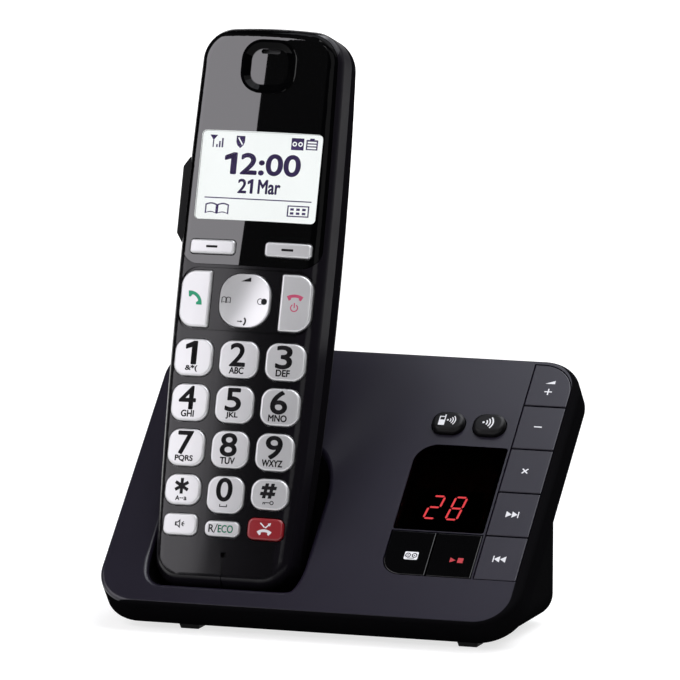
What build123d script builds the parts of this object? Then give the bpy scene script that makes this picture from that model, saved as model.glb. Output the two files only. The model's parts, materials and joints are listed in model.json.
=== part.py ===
from build123d import *
from math import cos, radians, sin
import os

os.makedirs("parts", exist_ok=True)

# Shared clearances and small sizes
key_gap = 0.3
fit_gap = 0.15
seat_gap = 0.05
seam_gap = 0.2
overrun = 5.0

# Base: a thick sloping plate on a wedge shaped housing
base_width = 130.0
plate_length = 100.0
plate_thickness = 9.0
plate_slope = 41.5
plate_corner_radius = 13.0
plate_edge_round = 1.2
cover_wall = 1.6
cover_skin = 2.4
foot_height = 2.0

# Handset, leaning back in the cradle
handset_length = 168.0
handset_lean = 17.3
foot_half_width = 20.7
waist_half_width = 23.0
head_half_width = 21.7
waist_height = 92.0
head_arch = 1.2
foot_corner_radius = 9.0
head_corner_radius = 10.0
crown_radius = 180.0
end_depth = 22.0
waist_depth = 26.0
front_round = 4.0
rear_round = 8.5
shell_wall = 1.8
ceiling_depth = 3.0
parting_depth = 12.0

# Where the handset stands on the plate
handset_inset = 36.8
chin_position = 10.8
chin_rise = 2.8

# Frames of the plate and of the handset
handset_offset = handset_inset - base_width / 2
slope = radians(plate_slope)
lean = radians(handset_lean)
edge_relief = plate_edge_round * (cos(slope) + sin(slope) - 1)
base_depth = plate_length * cos(slope) + plate_thickness * sin(slope)
front_edge_height = foot_height + plate_thickness * cos(slope)
plate_plane = Plane(
    origin=(0, -(base_depth + edge_relief) / 2, front_edge_height),
    x_dir=(1, 0, 0),
    z_dir=(0, -sin(slope), cos(slope)),
)
chin_point = plate_plane.from_local_coords((handset_offset, chin_position, 0))
handset_up = Vector(0, sin(lean), cos(lean))
handset_out = Vector(0, -cos(lean), sin(lean))
handset_origin = chin_point - handset_up * chin_rise
handset_plane = Plane(origin=handset_origin, x_dir=(1, 0, 0), z_dir=handset_out)
handset_side_plane = Plane(origin=handset_origin, x_dir=handset_up, z_dir=(1, 0, 0))
handset_cross_plane = Plane(origin=handset_origin, x_dir=(1, 0, 0), z_dir=handset_up)
front_axis = Axis(handset_origin, handset_out)
plate_axis = Axis(plate_plane.origin, plate_plane.z_dir)


# Plain faces, drawn in the local coordinates of the plane that they go on
def rounded_face(centre, size, corner):
    with BuildSketch() as face:
        with Locations(centre):
            RectangleRounded(size[0], size[1], corner)
    return face.sketch


def corner_face(left, right, bottom, top, radii):
    """Rectangle with radii for its lower left, upper left, lower right and upper right corners."""
    corners = [(x, y) for x in (left, right) for y in (bottom, top)]
    with BuildSketch() as face:
        with Locations(((left + right) / 2, (bottom + top) / 2)):
            Rectangle(right - left, top - bottom)
        for corner, radius in zip(corners, radii):
            if radius > 0:
                fillet(face.vertices().sort_by_distance(corner)[0], radius)
    return face.sketch


def grown_face(source, amount):
    with BuildSketch() as face:
        add(source)
        offset(amount=amount)
    return face.sketch


def block(plane, face, start, end):
    """Solid between two heights above a plane."""
    with BuildPart() as solid:
        with BuildSketch(plane.offset(start)):
            add(face)
        extrude(amount=end - start)
    return solid.part


# The handset's outer form, or the same form drawn in by a wall
def handset_outline(inset):
    foot = (foot_half_width - inset, inset)
    waist = (waist_half_width - inset, waist_height)
    head = (head_half_width - inset, handset_length - head_arch - inset)
    with BuildSketch() as face:
        with BuildLine():
            right = ThreePointArc(foot, waist, head)
            top = ThreePointArc(head, (0, handset_length - inset), (-head[0], head[1]))
            left = ThreePointArc(top @ 1, (-waist[0], waist[1]), (-foot[0], foot[1]))
            Line(left @ 1, right @ 0)
        make_face()
        fillet(face.vertices().group_by(Axis.Y)[0], foot_corner_radius - inset)
        fillet(face.vertices().group_by(Axis.Y)[-1], head_corner_radius - inset)
    return face.sketch


def handset_form(inset, flat_front=False):
    with BuildPart() as form:
        with BuildSketch(handset_plane.offset(overrun)):
            add(handset_outline(inset))
        extrude(amount=-(waist_depth + 2 * overrun))
        with BuildSketch(handset_side_plane):
            with BuildLine():
                back = ThreePointArc(
                    (-overrun, inset - end_depth),
                    (handset_length / 2, inset - waist_depth),
                    (handset_length + overrun, inset - end_depth),
                )
                Polyline(
                    back @ 1,
                    (handset_length + overrun, overrun),
                    (-overrun, overrun),
                    back @ 0,
                )
            make_face()
        extrude(amount=2 * waist_half_width, both=True, mode=Mode.INTERSECT)
        if flat_front:
            split(bisect_by=handset_plane.offset(-ceiling_depth), keep=Keep.BOTTOM)
        else:
            with BuildSketch(handset_cross_plane.offset(-overrun)):
                with Locations((0, crown_radius)):
                    Circle(crown_radius - inset)
            extrude(amount=handset_length + 2 * overrun, mode=Mode.INTERSECT)
            fillet(form.faces().sort_by(front_axis)[-1].edges(), front_round - inset)
        fillet(form.faces().sort_by(front_axis)[0].edges(), rear_round - inset)
    return form.part


outer_form = handset_form(0)
inner_form = handset_form(shell_wall, flat_front=True)


def skin_piece(face, depth, reach):
    """The outermost layer of the handset's front, within a face drawn on it, back to a reach."""
    with BuildPart() as piece:
        add(outer_form)
        add(handset_form(depth), mode=Mode.SUBTRACT)
        with BuildSketch(handset_plane.offset(overrun)):
            add(face)
        extrude(amount=-(reach + overrun), mode=Mode.INTERSECT)
    return piece.part


# Handset face layout, measured up from the handset's foot
number_names = (
    ("one", "two", "three"),
    ("four", "five", "six"),
    ("seven", "eight", "nine"),
    ("star", "zero", "hash"),
)
first_row_height = 67.9
row_pitch = 13.45
column_pitch = 14.3
column_pitch_step = 0.27
number_key_width = 12.1
number_key_width_step = 0.25
number_key_height = 11.1
number_key_corner = 3.6
side_key_lift = 0.9
side_key_height = 9.2
function_row_height = 18.1
function_key_width = 10.8
function_key_height = 6.5
function_key_corner = 2.0
recall_row_height = 17.4
recall_key_height = 4.7
recall_key_corner = 1.9
call_row_height = 85.5
call_key_space = 3.0
call_key_width = 9.5
call_key_height = 17.0
call_key_outer_corner = 4.6
call_key_inner_corner = 0.6
nav_key_width = 15.8
nav_key_height = 16.0
nav_key_corner = 6.4
nav_dish_radius = 40.0
nav_dish_depth = 1.0
soft_row_height = 101.2
soft_key_width = 14.2
soft_key_height = 4.25
soft_key_corner = 1.1
window_width = 37.8
key_rise = 0.9
key_edge_round = 0.7
flange_lip = 0.45
call_flange_lip = 0.4
flange_thickness = 0.8
key_travel = 0.9
mat_thickness = 1.0
board_thickness = 1.6

call_key_offset = nav_key_width / 2 + call_key_space + call_key_width / 2
soft_key_offset = (window_width - soft_key_width) / 2
flange_top = ceiling_depth + fit_gap
mat_top = flange_top + flange_thickness + key_travel + fit_gap
board_top = mat_top + mat_thickness
board_bottom = board_top + board_thickness


def number_key_faces():
    faces = {}
    for row, names in enumerate(number_names):
        height = first_row_height - row * row_pitch
        pitch = column_pitch - row * column_pitch_step
        width = number_key_width - row * number_key_width_step
        for column, name in enumerate(names):
            short = name in ("star", "hash")
            centre = ((column - 1) * pitch, height + (side_key_lift if short else 0))
            size = (width, side_key_height if short else number_key_height)
            faces["key_" + name] = rounded_face(centre, size, number_key_corner)
    return faces


def call_key_face(side):
    left = side * call_key_offset - call_key_width / 2
    bottom = call_row_height - call_key_height / 2
    outer = (call_key_outer_corner, call_key_outer_corner)
    inner = (call_key_inner_corner, call_key_inner_corner)
    radii = outer + inner if side < 0 else inner + outer
    return corner_face(left, left + call_key_width, bottom, bottom + call_key_height, radii)


function_offset = column_pitch - len(number_names) * column_pitch_step
function_size = (function_key_width, function_key_height)
soft_size = (soft_key_width, soft_key_height)
handset_keys = number_key_faces()
handset_keys["key_speaker"] = rounded_face(
    (-function_offset, function_row_height), function_size, function_key_corner
)
handset_keys["key_block"] = rounded_face(
    (function_offset, function_row_height), function_size, function_key_corner
)
handset_keys["key_recall"] = rounded_face(
    (0, recall_row_height), (function_key_width, recall_key_height), recall_key_corner
)
handset_keys["key_talk"] = call_key_face(-1)
handset_keys["key_off"] = call_key_face(1)
handset_keys["key_nav"] = rounded_face(
    (0, call_row_height), (nav_key_width, nav_key_height), nav_key_corner
)
handset_keys["key_soft_left"] = rounded_face(
    (-soft_key_offset, soft_row_height), soft_size, soft_key_corner
)
handset_keys["key_soft_right"] = rounded_face(
    (soft_key_offset, soft_row_height), soft_size, soft_key_corner
)

# Handset keys: a crowned cap in its opening, held by a flange under the shell
for name, face in handset_keys.items():
    lip = call_flange_lip if name in ("key_talk", "key_off") else flange_lip
    with BuildPart() as key:
        with BuildSketch(handset_plane.offset(-flange_top)):
            add(face)
        extrude(amount=flange_top + overrun)
        with BuildSketch(handset_cross_plane.offset(-overrun)):
            with Locations((0, crown_radius)):
                Circle(crown_radius + key_rise)
        extrude(amount=handset_length, mode=Mode.INTERSECT)
        fillet(key.faces().sort_by(front_axis)[-1].edges(), key_edge_round)
        if name == "key_nav":
            dish_centre = handset_plane.from_local_coords(
                (0, call_row_height, key_rise - nav_dish_depth + nav_dish_radius)
            )
            with Locations(dish_centre):
                Sphere(nav_dish_radius, mode=Mode.SUBTRACT)
        with BuildSketch(handset_plane.offset(-flange_top)):
            add(grown_face(face, lip))
        extrude(amount=-flange_thickness)
    key.part.label = name
    export_step(key.part, f"parts/{name}.step")

# Gloss fascia over the upper half, with the display window and the earpiece dish
fascia_margin = 1.3
fascia_bottom = 96.1
fascia_corner = 5.5
fascia_thickness = 1.4
fascia_reach = 3.0
window_bottom = 109.5
window_height = 26.8
window_corner = 1.4
ear_drop = 12.0
ear_width = 16.9
ear_length = 16.1
ear_corner = 6.2
ear_ring = 0.9
ear_ring_rise = 0.35
ear_dish_depth = 1.0
ear_dish_wall = 2.2
ear_slot_width = 6.0
ear_slot_height = 1.4
ear_slot_rise = 4.6
ear_height = handset_length - ear_drop
window_centre = (0, window_bottom + window_height / 2)
window_size = (window_width, window_height)
window_face = rounded_face(window_centre, window_size, window_corner)
ear_face = rounded_face((0, ear_height), (ear_width, ear_length), ear_corner)
ear_inner_face = grown_face(ear_face, -ear_ring)
ear_slot_face = rounded_face(
    (0, ear_height + ear_slot_rise),
    (ear_slot_width, ear_slot_height),
    ear_slot_height / 2 - seat_gap,
)


def fascia_face(grow):
    with BuildSketch() as face:
        add(handset_outline(fascia_margin - grow))
        with Locations((0, fascia_bottom - grow + handset_length / 2)):
            Rectangle(handset_length, handset_length, mode=Mode.INTERSECT)
        fillet(face.vertices().group_by(Axis.Y)[0], fascia_corner + grow)
    return face.sketch


def ear_dish():
    """Hollow inside the ring: sloping walls down to a floor that follows the crown."""
    with BuildPart() as dish:
        with BuildSketch(handset_plane.offset(ear_ring_rise)):
            add(ear_inner_face)
        with BuildSketch(handset_plane.offset(-fascia_thickness)):
            add(grown_face(ear_inner_face, -ear_dish_wall))
        loft()
        with BuildSketch(handset_cross_plane):
            with Locations((0, crown_radius)):
                Circle(crown_radius - ear_dish_depth)
        extrude(amount=handset_length, mode=Mode.SUBTRACT)
    return dish.part


with BuildPart() as fascia:
    add(skin_piece(fascia_face(0), fascia_thickness, fascia_reach))
    add(block(handset_plane, window_face, -ceiling_depth, overrun), mode=Mode.SUBTRACT)
    for soft_name in ("key_soft_left", "key_soft_right"):
        soft_hole = grown_face(handset_keys[soft_name], key_gap)
        add(block(handset_plane, soft_hole, -ceiling_depth, overrun), mode=Mode.SUBTRACT)
    add(block(handset_plane, ear_face, -fascia_thickness, ear_ring_rise))
    add(ear_dish(), mode=Mode.SUBTRACT)
    add(block(handset_plane, ear_slot_face, -ceiling_depth, overrun), mode=Mode.SUBTRACT)
fascia.part.label = "screen_fascia"
export_step(fascia.part, "parts/screen_fascia.step")

# Clear lens in the window, flat behind
lens_thickness = 1.5
with BuildPart() as lens:
    add(outer_form)
    with BuildSketch(handset_plane.offset(-lens_thickness)):
        add(grown_face(window_face, -seat_gap))
    extrude(amount=lens_thickness + overrun, mode=Mode.INTERSECT)
lens.part.label = "display_lens"
export_step(lens.part, "parts/display_lens.step")

# Display module: the glass fills the window, the carrier seats under the shell
carrier_lip = 0.8
carrier_thickness = 2.6
lcd_glass_depth = lens_thickness + fit_gap
with BuildPart() as lcd:
    glass_face = grown_face(window_face, -fit_gap)
    add(block(handset_plane, glass_face, -ceiling_depth, -lcd_glass_depth))
    carrier_face = grown_face(window_face, carrier_lip)
    add(block(handset_plane, carrier_face, -ceiling_depth - carrier_thickness, -ceiling_depth))
lcd.part.label = "lcd_module"
export_step(lcd.part, "parts/lcd_module.step")

# Volume rocker, a bar with slanted ends that rocks on its own trunnion
rocker_height = 115.5
rocker_length = 25.7
rocker_end_slant = 3.0
rocker_proud = 2.0
rocker_front_depth = 4.1
rocker_rear_depth = 9.6
rocker_round = 0.5
trunnion_radius = 0.6
trunnion_reach = 0.8
rocker_gap = 0.5
wall_inner = waist_half_width - shell_wall
rocker_root = wall_inner - key_gap - trunnion_radius
rocker_top = waist_half_width + rocker_proud
rocker_hole_size = (rocker_top - rocker_root + overrun, rocker_length + 2 * rocker_gap)
rocker_hole = rounded_face(
    (-(rocker_top + rocker_root + overrun) / 2, rocker_height), rocker_hole_size, rocker_gap
)

with BuildPart() as rocker:
    with BuildSketch(handset_plane.offset(-rocker_rear_depth)):
        with BuildLine():
            low = rocker_height - rocker_length / 2
            high = rocker_height + rocker_length / 2
            Polyline(
                (-rocker_root, low),
                (-waist_half_width, low),
                (-rocker_top, low + rocker_end_slant),
                (-rocker_top, high - rocker_end_slant),
                (-waist_half_width, high),
                (-rocker_root, high),
                close=True,
            )
        make_face()
    extrude(amount=rocker_rear_depth - rocker_front_depth)
    outer_edges = rocker.faces().sort_by(Axis.X)[0].edges()
    fillet(outer_edges, rocker_round)
    with BuildSketch(handset_plane.offset(-rocker_rear_depth - trunnion_reach)):
        with Locations((-rocker_root, rocker_height)):
            Circle(trunnion_radius)
    extrude(amount=rocker_rear_depth - rocker_front_depth + 2 * trunnion_reach)
rocker.part.label = "volume_rocker"
export_step(rocker.part, "parts/volume_rocker.step")

# Screws that hold the two handset shells together
upper_screw_offset = 14.0
upper_screw_drop = 27.0
lower_screw_offset = 12.0
lower_screw_height = 9.5
boss_radius = 3.2
screw_head_radius = 2.2
screw_head_height = 1.6
screw_radius = 1.0
screw_length = 10.0
screw_head_depth = 18.0
drive_radius = 0.9
drive_depth = 0.8
upper_screw_height = handset_length - upper_screw_drop
handset_screw_places = [
    (-upper_screw_offset, upper_screw_height),
    (upper_screw_offset, upper_screw_height),
    (-lower_screw_offset, lower_screw_height),
    (lower_screw_offset, lower_screw_height),
]


def round_face(centres, radius):
    with BuildSketch() as face:
        with Locations(*centres):
            Circle(radius)
    return face.sketch


with BuildPart() as handset_screws:
    shank = round_face(handset_screw_places, screw_radius)
    head = round_face(handset_screw_places, screw_head_radius)
    drive = round_face(handset_screw_places, drive_radius)
    head_end = -screw_head_depth - screw_head_height
    add(block(handset_plane, shank, -screw_head_depth, screw_length - screw_head_depth))
    add(block(handset_plane, head, head_end, -screw_head_depth))
    add(block(handset_plane, drive, head_end, head_end + drive_depth), mode=Mode.SUBTRACT)
handset_screws.part.label = "handset_screws"
export_step(handset_screws.part, "parts/handset_screws.step")

# Charging contacts let into the handset's foot
contact_offset = 9.0
contact_width = 4.0
contact_front_depth = 7.0
contact_rear_depth = 10.5
contact_thickness = 0.8
contact_middle_depth = (contact_front_depth + contact_rear_depth) / 2
contact_length = contact_rear_depth - contact_front_depth


def contact_face(grow):
    with BuildSketch() as face:
        with Locations((-contact_offset, contact_middle_depth), (contact_offset, contact_middle_depth)):
            Rectangle(contact_width + 2 * grow, contact_length + 2 * grow)
    return face.sketch


with BuildPart() as handset_contacts:
    add(block(handset_cross_plane, contact_face(0), 0, contact_thickness))
handset_contacts.part.label = "handset_charge_contacts"
export_step(handset_contacts.part, "parts/handset_charge_contacts.step")

# Front shell
groove_width = 0.5
groove_depth = 0.4
call_panel_side = 0.5
call_panel_end = 1.1
call_panel_corner = 5.2
mic_offset = 1.0
mic_height = 9.8
mic_hole = 1.5
mic_groove_width = 0.6
mic_radius = 3.0
mic_thickness = 1.8
front_boss_radius = 2.6

call_panel_size = (
    2 * call_key_offset + call_key_width + 2 * call_panel_side,
    call_key_height + 2 * call_panel_end,
)

with BuildSketch() as call_groove:
    add(rounded_face((0, call_row_height), call_panel_size, call_panel_corner))
    offset(amount=-groove_width, mode=Mode.SUBTRACT)
with BuildSketch() as mic_groove:
    with Locations((mic_offset, mic_height / 2)):
        Rectangle(mic_groove_width, mic_height)
mic_hole_face = rounded_face((mic_offset, mic_height), (mic_hole, mic_hole), mic_groove_width / 2)

with BuildPart() as front_shell:
    add(outer_form)
    add(inner_form, mode=Mode.SUBTRACT)
    split(bisect_by=handset_plane.offset(-parting_depth), keep=Keep.TOP)
    front_boss = round_face(handset_screw_places, front_boss_radius)
    add(block(handset_plane, front_boss, -parting_depth, -ceiling_depth))
    screw_hole = round_face(handset_screw_places, screw_radius + seat_gap)
    hole_end = screw_length - screw_head_depth + fit_gap
    add(block(handset_plane, screw_hole, -parting_depth - fit_gap, hole_end), mode=Mode.SUBTRACT)
    fascia_seat = (fascia_face(fit_gap), fascia_thickness + seat_gap, fascia_reach + seat_gap)
    add(skin_piece(*fascia_seat), mode=Mode.SUBTRACT)
    for key_face in handset_keys.values():
        key_hole = grown_face(key_face, key_gap)
        add(block(handset_plane, key_hole, -ceiling_depth, overrun), mode=Mode.SUBTRACT)
    add(block(handset_plane, window_face, -ceiling_depth, overrun), mode=Mode.SUBTRACT)
    add(block(handset_plane, ear_slot_face, -ceiling_depth, overrun), mode=Mode.SUBTRACT)
    for groove in (call_groove, mic_groove):
        add(skin_piece(groove.sketch, groove_depth, front_round), mode=Mode.SUBTRACT)
    add(block(handset_plane, mic_hole_face, -ceiling_depth, overrun), mode=Mode.SUBTRACT)
    rocker_near = rocker_gap - rocker_front_depth
    rocker_far = -rocker_rear_depth - rocker_gap
    add(block(handset_plane, rocker_hole, rocker_far, rocker_near), mode=Mode.SUBTRACT)
    contact_seat = contact_face(seat_gap)
    add(
        block(handset_cross_plane, contact_seat, -overrun, contact_thickness + seat_gap),
        mode=Mode.SUBTRACT,
    )
front_shell.part.label = "handset_front_shell"
export_step(front_shell.part, "parts/handset_front_shell.step")

# Battery bay in the back of the handset
cell_diameter = 10.5
cell_length = 44.5
cell_nub_radius = 1.9
cell_nub_length = 0.9
cell_gap = 0.6
bay_centre_height = 100.0
bay_wall = 1.2
bay_floor = 0.7
bay_end_room = 1.4
cover_thickness = 1.6
cover_gap = 0.3
cover_margin = 1.2
spring_plate = 0.4
bay_half_width = cell_diameter + cell_gap
bay_half_length = cell_length / 2 + cell_nub_length + bay_end_room
cell_offset = cell_diameter / 2 + cell_gap / 2
cell_depth = parting_depth + bay_floor + fit_gap + cell_diameter / 2
bay_centre = (0, bay_centre_height)
bay_face = rounded_face(bay_centre, (2 * bay_half_width, 2 * bay_half_length), bay_wall)
bay_outer_face = grown_face(bay_face, bay_wall)
cover_face = grown_face(bay_face, cover_margin)
cover_hole_face = grown_face(cover_face, cover_gap)
bay_floor_bottom = -parting_depth - bay_floor

# Ringer in the back of the head, behind rows of small slots
ringer_drop = 16.0
ringer_radius = 9.5
ringer_thickness = 4.0
ringer_depth = 16.8
ringer_slot_length = 9.0
ringer_slot_width = 1.1
ringer_slot_pitch = 2.6
ringer_slot_count = 5
ringer_seat_wall = 1.0
ringer_height = handset_length - ringer_drop

with BuildSketch() as ringer_slots:
    with Locations((0, ringer_height)):
        with GridLocations(ringer_slot_pitch, ringer_slot_pitch, 1, ringer_slot_count):
            SlotOverall(ringer_slot_length, ringer_slot_width)


def rear_supports():
    """Screw bosses, battery bay and ringer seat, trimmed to the handset's form."""
    with BuildPart() as supports:
        rear_boss = round_face(handset_screw_places, boss_radius)
        add(block(handset_plane, rear_boss, -waist_depth, -parting_depth))
        add(block(handset_plane, bay_outer_face, -waist_depth, -parting_depth))
        ringer_seat = round_face([(0, ringer_height)], ringer_radius + ringer_seat_wall)
        add(block(handset_plane, ringer_seat, -waist_depth, -ringer_depth))
        add(outer_form, mode=Mode.INTERSECT)
    return supports.part


def back_piece(face, depth):
    """The outermost layer of the handset's back, within a face drawn on it."""
    with BuildPart() as piece:
        add(outer_form)
        add(handset_form(depth), mode=Mode.SUBTRACT)
        with BuildSketch(handset_plane.offset(-parting_depth)):
            add(face)
        extrude(amount=-waist_depth, mode=Mode.INTERSECT)
    return piece.part


with BuildPart() as rear_shell:
    add(outer_form)
    add(inner_form, mode=Mode.SUBTRACT)
    split(bisect_by=handset_plane.offset(-parting_depth - seam_gap), keep=Keep.BOTTOM)
    add(rear_supports())
    add(block(handset_plane, bay_face, -waist_depth, bay_floor_bottom), mode=Mode.SUBTRACT)
    add(back_piece(cover_hole_face, cover_thickness + seat_gap), mode=Mode.SUBTRACT)
    rear_hole = round_face(handset_screw_places, screw_radius + fit_gap)
    add(block(handset_plane, rear_hole, -waist_depth, -parting_depth), mode=Mode.SUBTRACT)
    head_hole = round_face(handset_screw_places, screw_head_radius + fit_gap)
    add(block(handset_plane, head_hole, -waist_depth, -screw_head_depth), mode=Mode.SUBTRACT)
    ringer_bore = round_face([(0, ringer_height)], ringer_radius + fit_gap)
    ringer_back = -ringer_depth - ringer_thickness - seat_gap
    add(block(handset_plane, ringer_bore, ringer_back, -ringer_depth), mode=Mode.SUBTRACT)
    add(block(handset_plane, ringer_slots.sketch, -waist_depth, ringer_back), mode=Mode.SUBTRACT)
rear_shell.part.label = "handset_rear_shell"
export_step(rear_shell.part, "parts/handset_rear_shell.step")

# Battery cover, a curved panel that lies flush in the back
grip_count = 4
grip_pitch = 2.2
grip_width = 1.0
grip_length = 14.0
grip_depth = 0.5
grip_height = bay_centre_height + bay_half_length - grip_count * grip_pitch

with BuildSketch() as grips:
    with Locations((0, grip_height)):
        with GridLocations(grip_length, grip_pitch, 1, grip_count):
            SlotOverall(grip_length, grip_width)

with BuildPart() as battery_cover:
    add(back_piece(cover_face, cover_thickness))
    add(back_piece(grips.sketch, grip_depth), mode=Mode.SUBTRACT)
battery_cover.part.label = "battery_cover"
export_step(battery_cover.part, "parts/battery_cover.step")

# Two cells side by side, their nubs at opposite ends
cell_plane = Plane(
    origin=handset_plane.from_local_coords((0, bay_centre_height, -cell_depth)),
    x_dir=(1, 0, 0),
    z_dir=handset_up,
)
with BuildPart() as cells:
    for side in (-1, 1):
        can = round_face([(side * cell_offset, 0)], cell_diameter / 2)
        nub = round_face([(side * cell_offset, 0)], cell_nub_radius)
        add(block(cell_plane, can, -cell_length / 2, cell_length / 2))
        nub_start = side * cell_length / 2
        add(block(cell_plane, nub, nub_start, nub_start + side * cell_nub_length))
cells.part.label = "batteries"
export_step(cells.part, "parts/batteries.step")

# Contact plates at both ends of the bay, bridged at one end
contact_plate_width = 8.0
contact_plate_height = 7.0
end_start = bay_half_length - seat_gap - spring_plate
with BuildSketch() as single_plates:
    with Locations((-cell_offset, 0), (cell_offset, 0)):
        Rectangle(contact_plate_width, contact_plate_height)
with BuildSketch() as bridge_plate:
    Rectangle(2 * cell_offset + contact_plate_width, contact_plate_height)

with BuildPart() as cell_contacts:
    add(block(cell_plane, single_plates.sketch, end_start, end_start + spring_plate))
    add(block(cell_plane, bridge_plate.sketch, -end_start - spring_plate, -end_start))
cell_contacts.part.label = "battery_contacts"
export_step(cell_contacts.part, "parts/battery_contacts.step")

# Receiver, microphone and ringer
receiver_radius = 9.0
receiver_thickness = 3.4
with BuildPart() as receiver:
    receiver_face = round_face([(0, ear_height)], receiver_radius)
    add(block(handset_plane, receiver_face, -ceiling_depth - receiver_thickness, -ceiling_depth))
receiver.part.label = "earpiece_receiver"
export_step(receiver.part, "parts/earpiece_receiver.step")

with BuildPart() as microphone:
    mic_face = round_face([(mic_offset, mic_height)], mic_radius)
    add(block(handset_plane, mic_face, -ceiling_depth - mic_thickness, -ceiling_depth))
microphone.part.label = "microphone"
export_step(microphone.part, "parts/microphone.step")

with BuildPart() as ringer:
    ringer_face = round_face([(0, ringer_height)], ringer_radius)
    add(block(handset_plane, ringer_face, -ringer_depth - ringer_thickness, -ringer_depth))
ringer.part.label = "ringer_speaker"
export_step(ringer.part, "parts/ringer_speaker.step")

# Key mat and circuit board behind the keys
board_clear = 1.0
mat_inset = 3.4
board_inset = shell_wall + fit_gap
rocker_clear_width = 4.0
board_bottom_height = lower_screw_height + boss_radius + board_clear
board_top_height = upper_screw_height - boss_radius - board_clear
mat_top_height = soft_row_height + soft_key_height


def board_face(inset, low, high):
    with BuildSketch() as face:
        add(handset_outline(inset))
        with Locations((0, (low + high) / 2)):
            Rectangle(2 * waist_half_width, high - low, mode=Mode.INTERSECT)
    return face.sketch


with BuildPart() as key_mat:
    mat_face = board_face(mat_inset, board_bottom_height, mat_top_height)
    add(block(handset_plane, mat_face, -board_top, -mat_top))
key_mat.part.label = "handset_key_mat"
export_step(key_mat.part, "parts/handset_key_mat.step")

with BuildPart() as handset_board:
    board_outline = board_face(board_inset, board_bottom_height, board_top_height)
    add(block(handset_plane, board_outline, -board_bottom, -board_top))
    rocker_clear = rounded_face(
        (-waist_half_width, rocker_height),
        (2 * rocker_clear_width, rocker_length + 2 * rocker_clear_width),
        rocker_gap,
    )
    add(block(handset_plane, rocker_clear, -board_bottom, -board_top), mode=Mode.SUBTRACT)
handset_board.part.label = "handset_board"
export_step(handset_board.part, "parts/handset_board.step")

# Base plate layout: x across from the middle, y up the slope from the front edge
column_rim = 2.9
column_width = 12.85
column_bottom_share = 0.167
column_pitch_share = 0.165
column_key_space = 0.5
column_corner = 10.2
column_names = ("key_skip_back", "key_skip_forward", "key_erase", "key_volume_down", "key_volume_up")
counter_space = 1.05
counter_width = 27.7
counter_corner = 7.0
counter_small_corner = 0.8
counter_lower_corner = 6.0
counter_thickness = 1.5
counter_ledge = 1.4
pill_space = 7.9
pill_offset = 6.35
pill_width = 10.0
pill_length = 7.6
pill_corner = 3.6
pill_rise = 2.0
pill_round = 1.3
base_key_rise = 0.0
base_key_round = 0.25
base_key_lip = 0.9
base_flange_thickness = 0.8
base_key_travel = 1.0
base_mat_thickness = 1.0
base_board_thickness = 1.6

column_right = base_width / 2 - column_rim
column_left = column_right - column_width
column_bottom = plate_length * column_bottom_share
column_key_pitch = plate_length * column_pitch_share
counter_right = column_left - counter_space
counter_left = counter_right - counter_width
counter_middle = (counter_left + counter_right) / 2
row_top = column_bottom + column_key_pitch
counter_bottom = row_top + key_gap
counter_top = column_bottom + (len(column_names) - 2) * column_key_pitch - column_key_space
column_top = plate_length - cover_wall - key_gap
pill_height = counter_top + pill_space
pill_left = counter_middle - pill_offset
pill_right = counter_middle + pill_offset
base_flange_top = cover_skin + fit_gap
base_mat_top = base_flange_top + base_flange_thickness + base_key_travel + fit_gap
base_board_top = base_mat_top + base_mat_thickness
base_board_bottom = base_board_top + base_board_thickness

base_keys = {}
for row, name in enumerate(column_names):
    low = column_bottom + row * column_key_pitch
    last = row == len(column_names) - 1
    high = column_top if last else low + column_key_pitch - column_key_space
    corner = column_corner if last else counter_small_corner / 2
    cap = corner_face(column_left, column_right, low, high, (0, 0, 0, corner))
    flange = corner_face(
        column_left - base_key_lip, column_right + key_gap, low, high, (0, 0, 0, corner)
    )
    base_keys[name] = (cap, flange, base_key_rise, base_key_round)
lower_high = row_top - column_key_space
split_left = counter_middle - column_key_space / 2
split_right = counter_middle + column_key_space / 2
for left, right, corner, name in (
    (counter_left, split_left, counter_lower_corner, "key_answer_on"),
    (split_right, counter_right, 0, "key_play_stop"),
):
    cap = corner_face(left, right, column_bottom, lower_high, (corner, 0, 0, 0))
    flange = corner_face(
        left, right, column_bottom - base_key_lip, lower_high + base_key_lip, (corner, 0, 0, 0)
    )
    base_keys[name] = (cap, flange, base_key_rise, base_key_round)
for centre, name in ((pill_left, "key_locator"), (pill_right, "key_intercom")):
    cap = rounded_face((centre, pill_height), (pill_width, pill_length), pill_corner)
    base_keys[name] = (cap, grown_face(cap, base_key_lip), pill_rise, pill_round)

# Base keys: flush caps, and two raised pills, each with a flange under the cover
for name, (cap, flange, rise, edge_round) in base_keys.items():
    with BuildPart() as base_key:
        add(block(plate_plane, cap, -base_flange_top, rise))
        fillet(base_key.faces().sort_by(plate_axis)[-1].edges(), edge_round)
        add(block(plate_plane, flange, -base_flange_top - base_flange_thickness, -base_flange_top))
    base_key.part.label = name
    export_step(base_key.part, f"parts/{name}.step")

# Counter window and the two digit display under it
counter_face = corner_face(
    counter_left,
    counter_right,
    counter_bottom,
    counter_top,
    (counter_small_corner, counter_corner, counter_small_corner, counter_small_corner),
)
with BuildPart() as counter_window:
    add(block(plate_plane, counter_face, -counter_thickness, 0))
counter_window.part.label = "counter_window"
export_step(counter_window.part, "parts/counter_window.step")

digits_rise = 9.5
digits_width = 20.0
digits_height = 14.0
digits_corner = 0.6
digits_centre = (counter_middle, counter_bottom + digits_rise)
with BuildPart() as digit_display:
    digits_face = rounded_face(digits_centre, (digits_width, digits_height), digits_corner)
    add(block(plate_plane, digits_face, -base_board_top, -counter_thickness - key_gap))
digit_display.part.label = "digit_display"
export_step(digit_display.part, "parts/digit_display.step")

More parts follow.
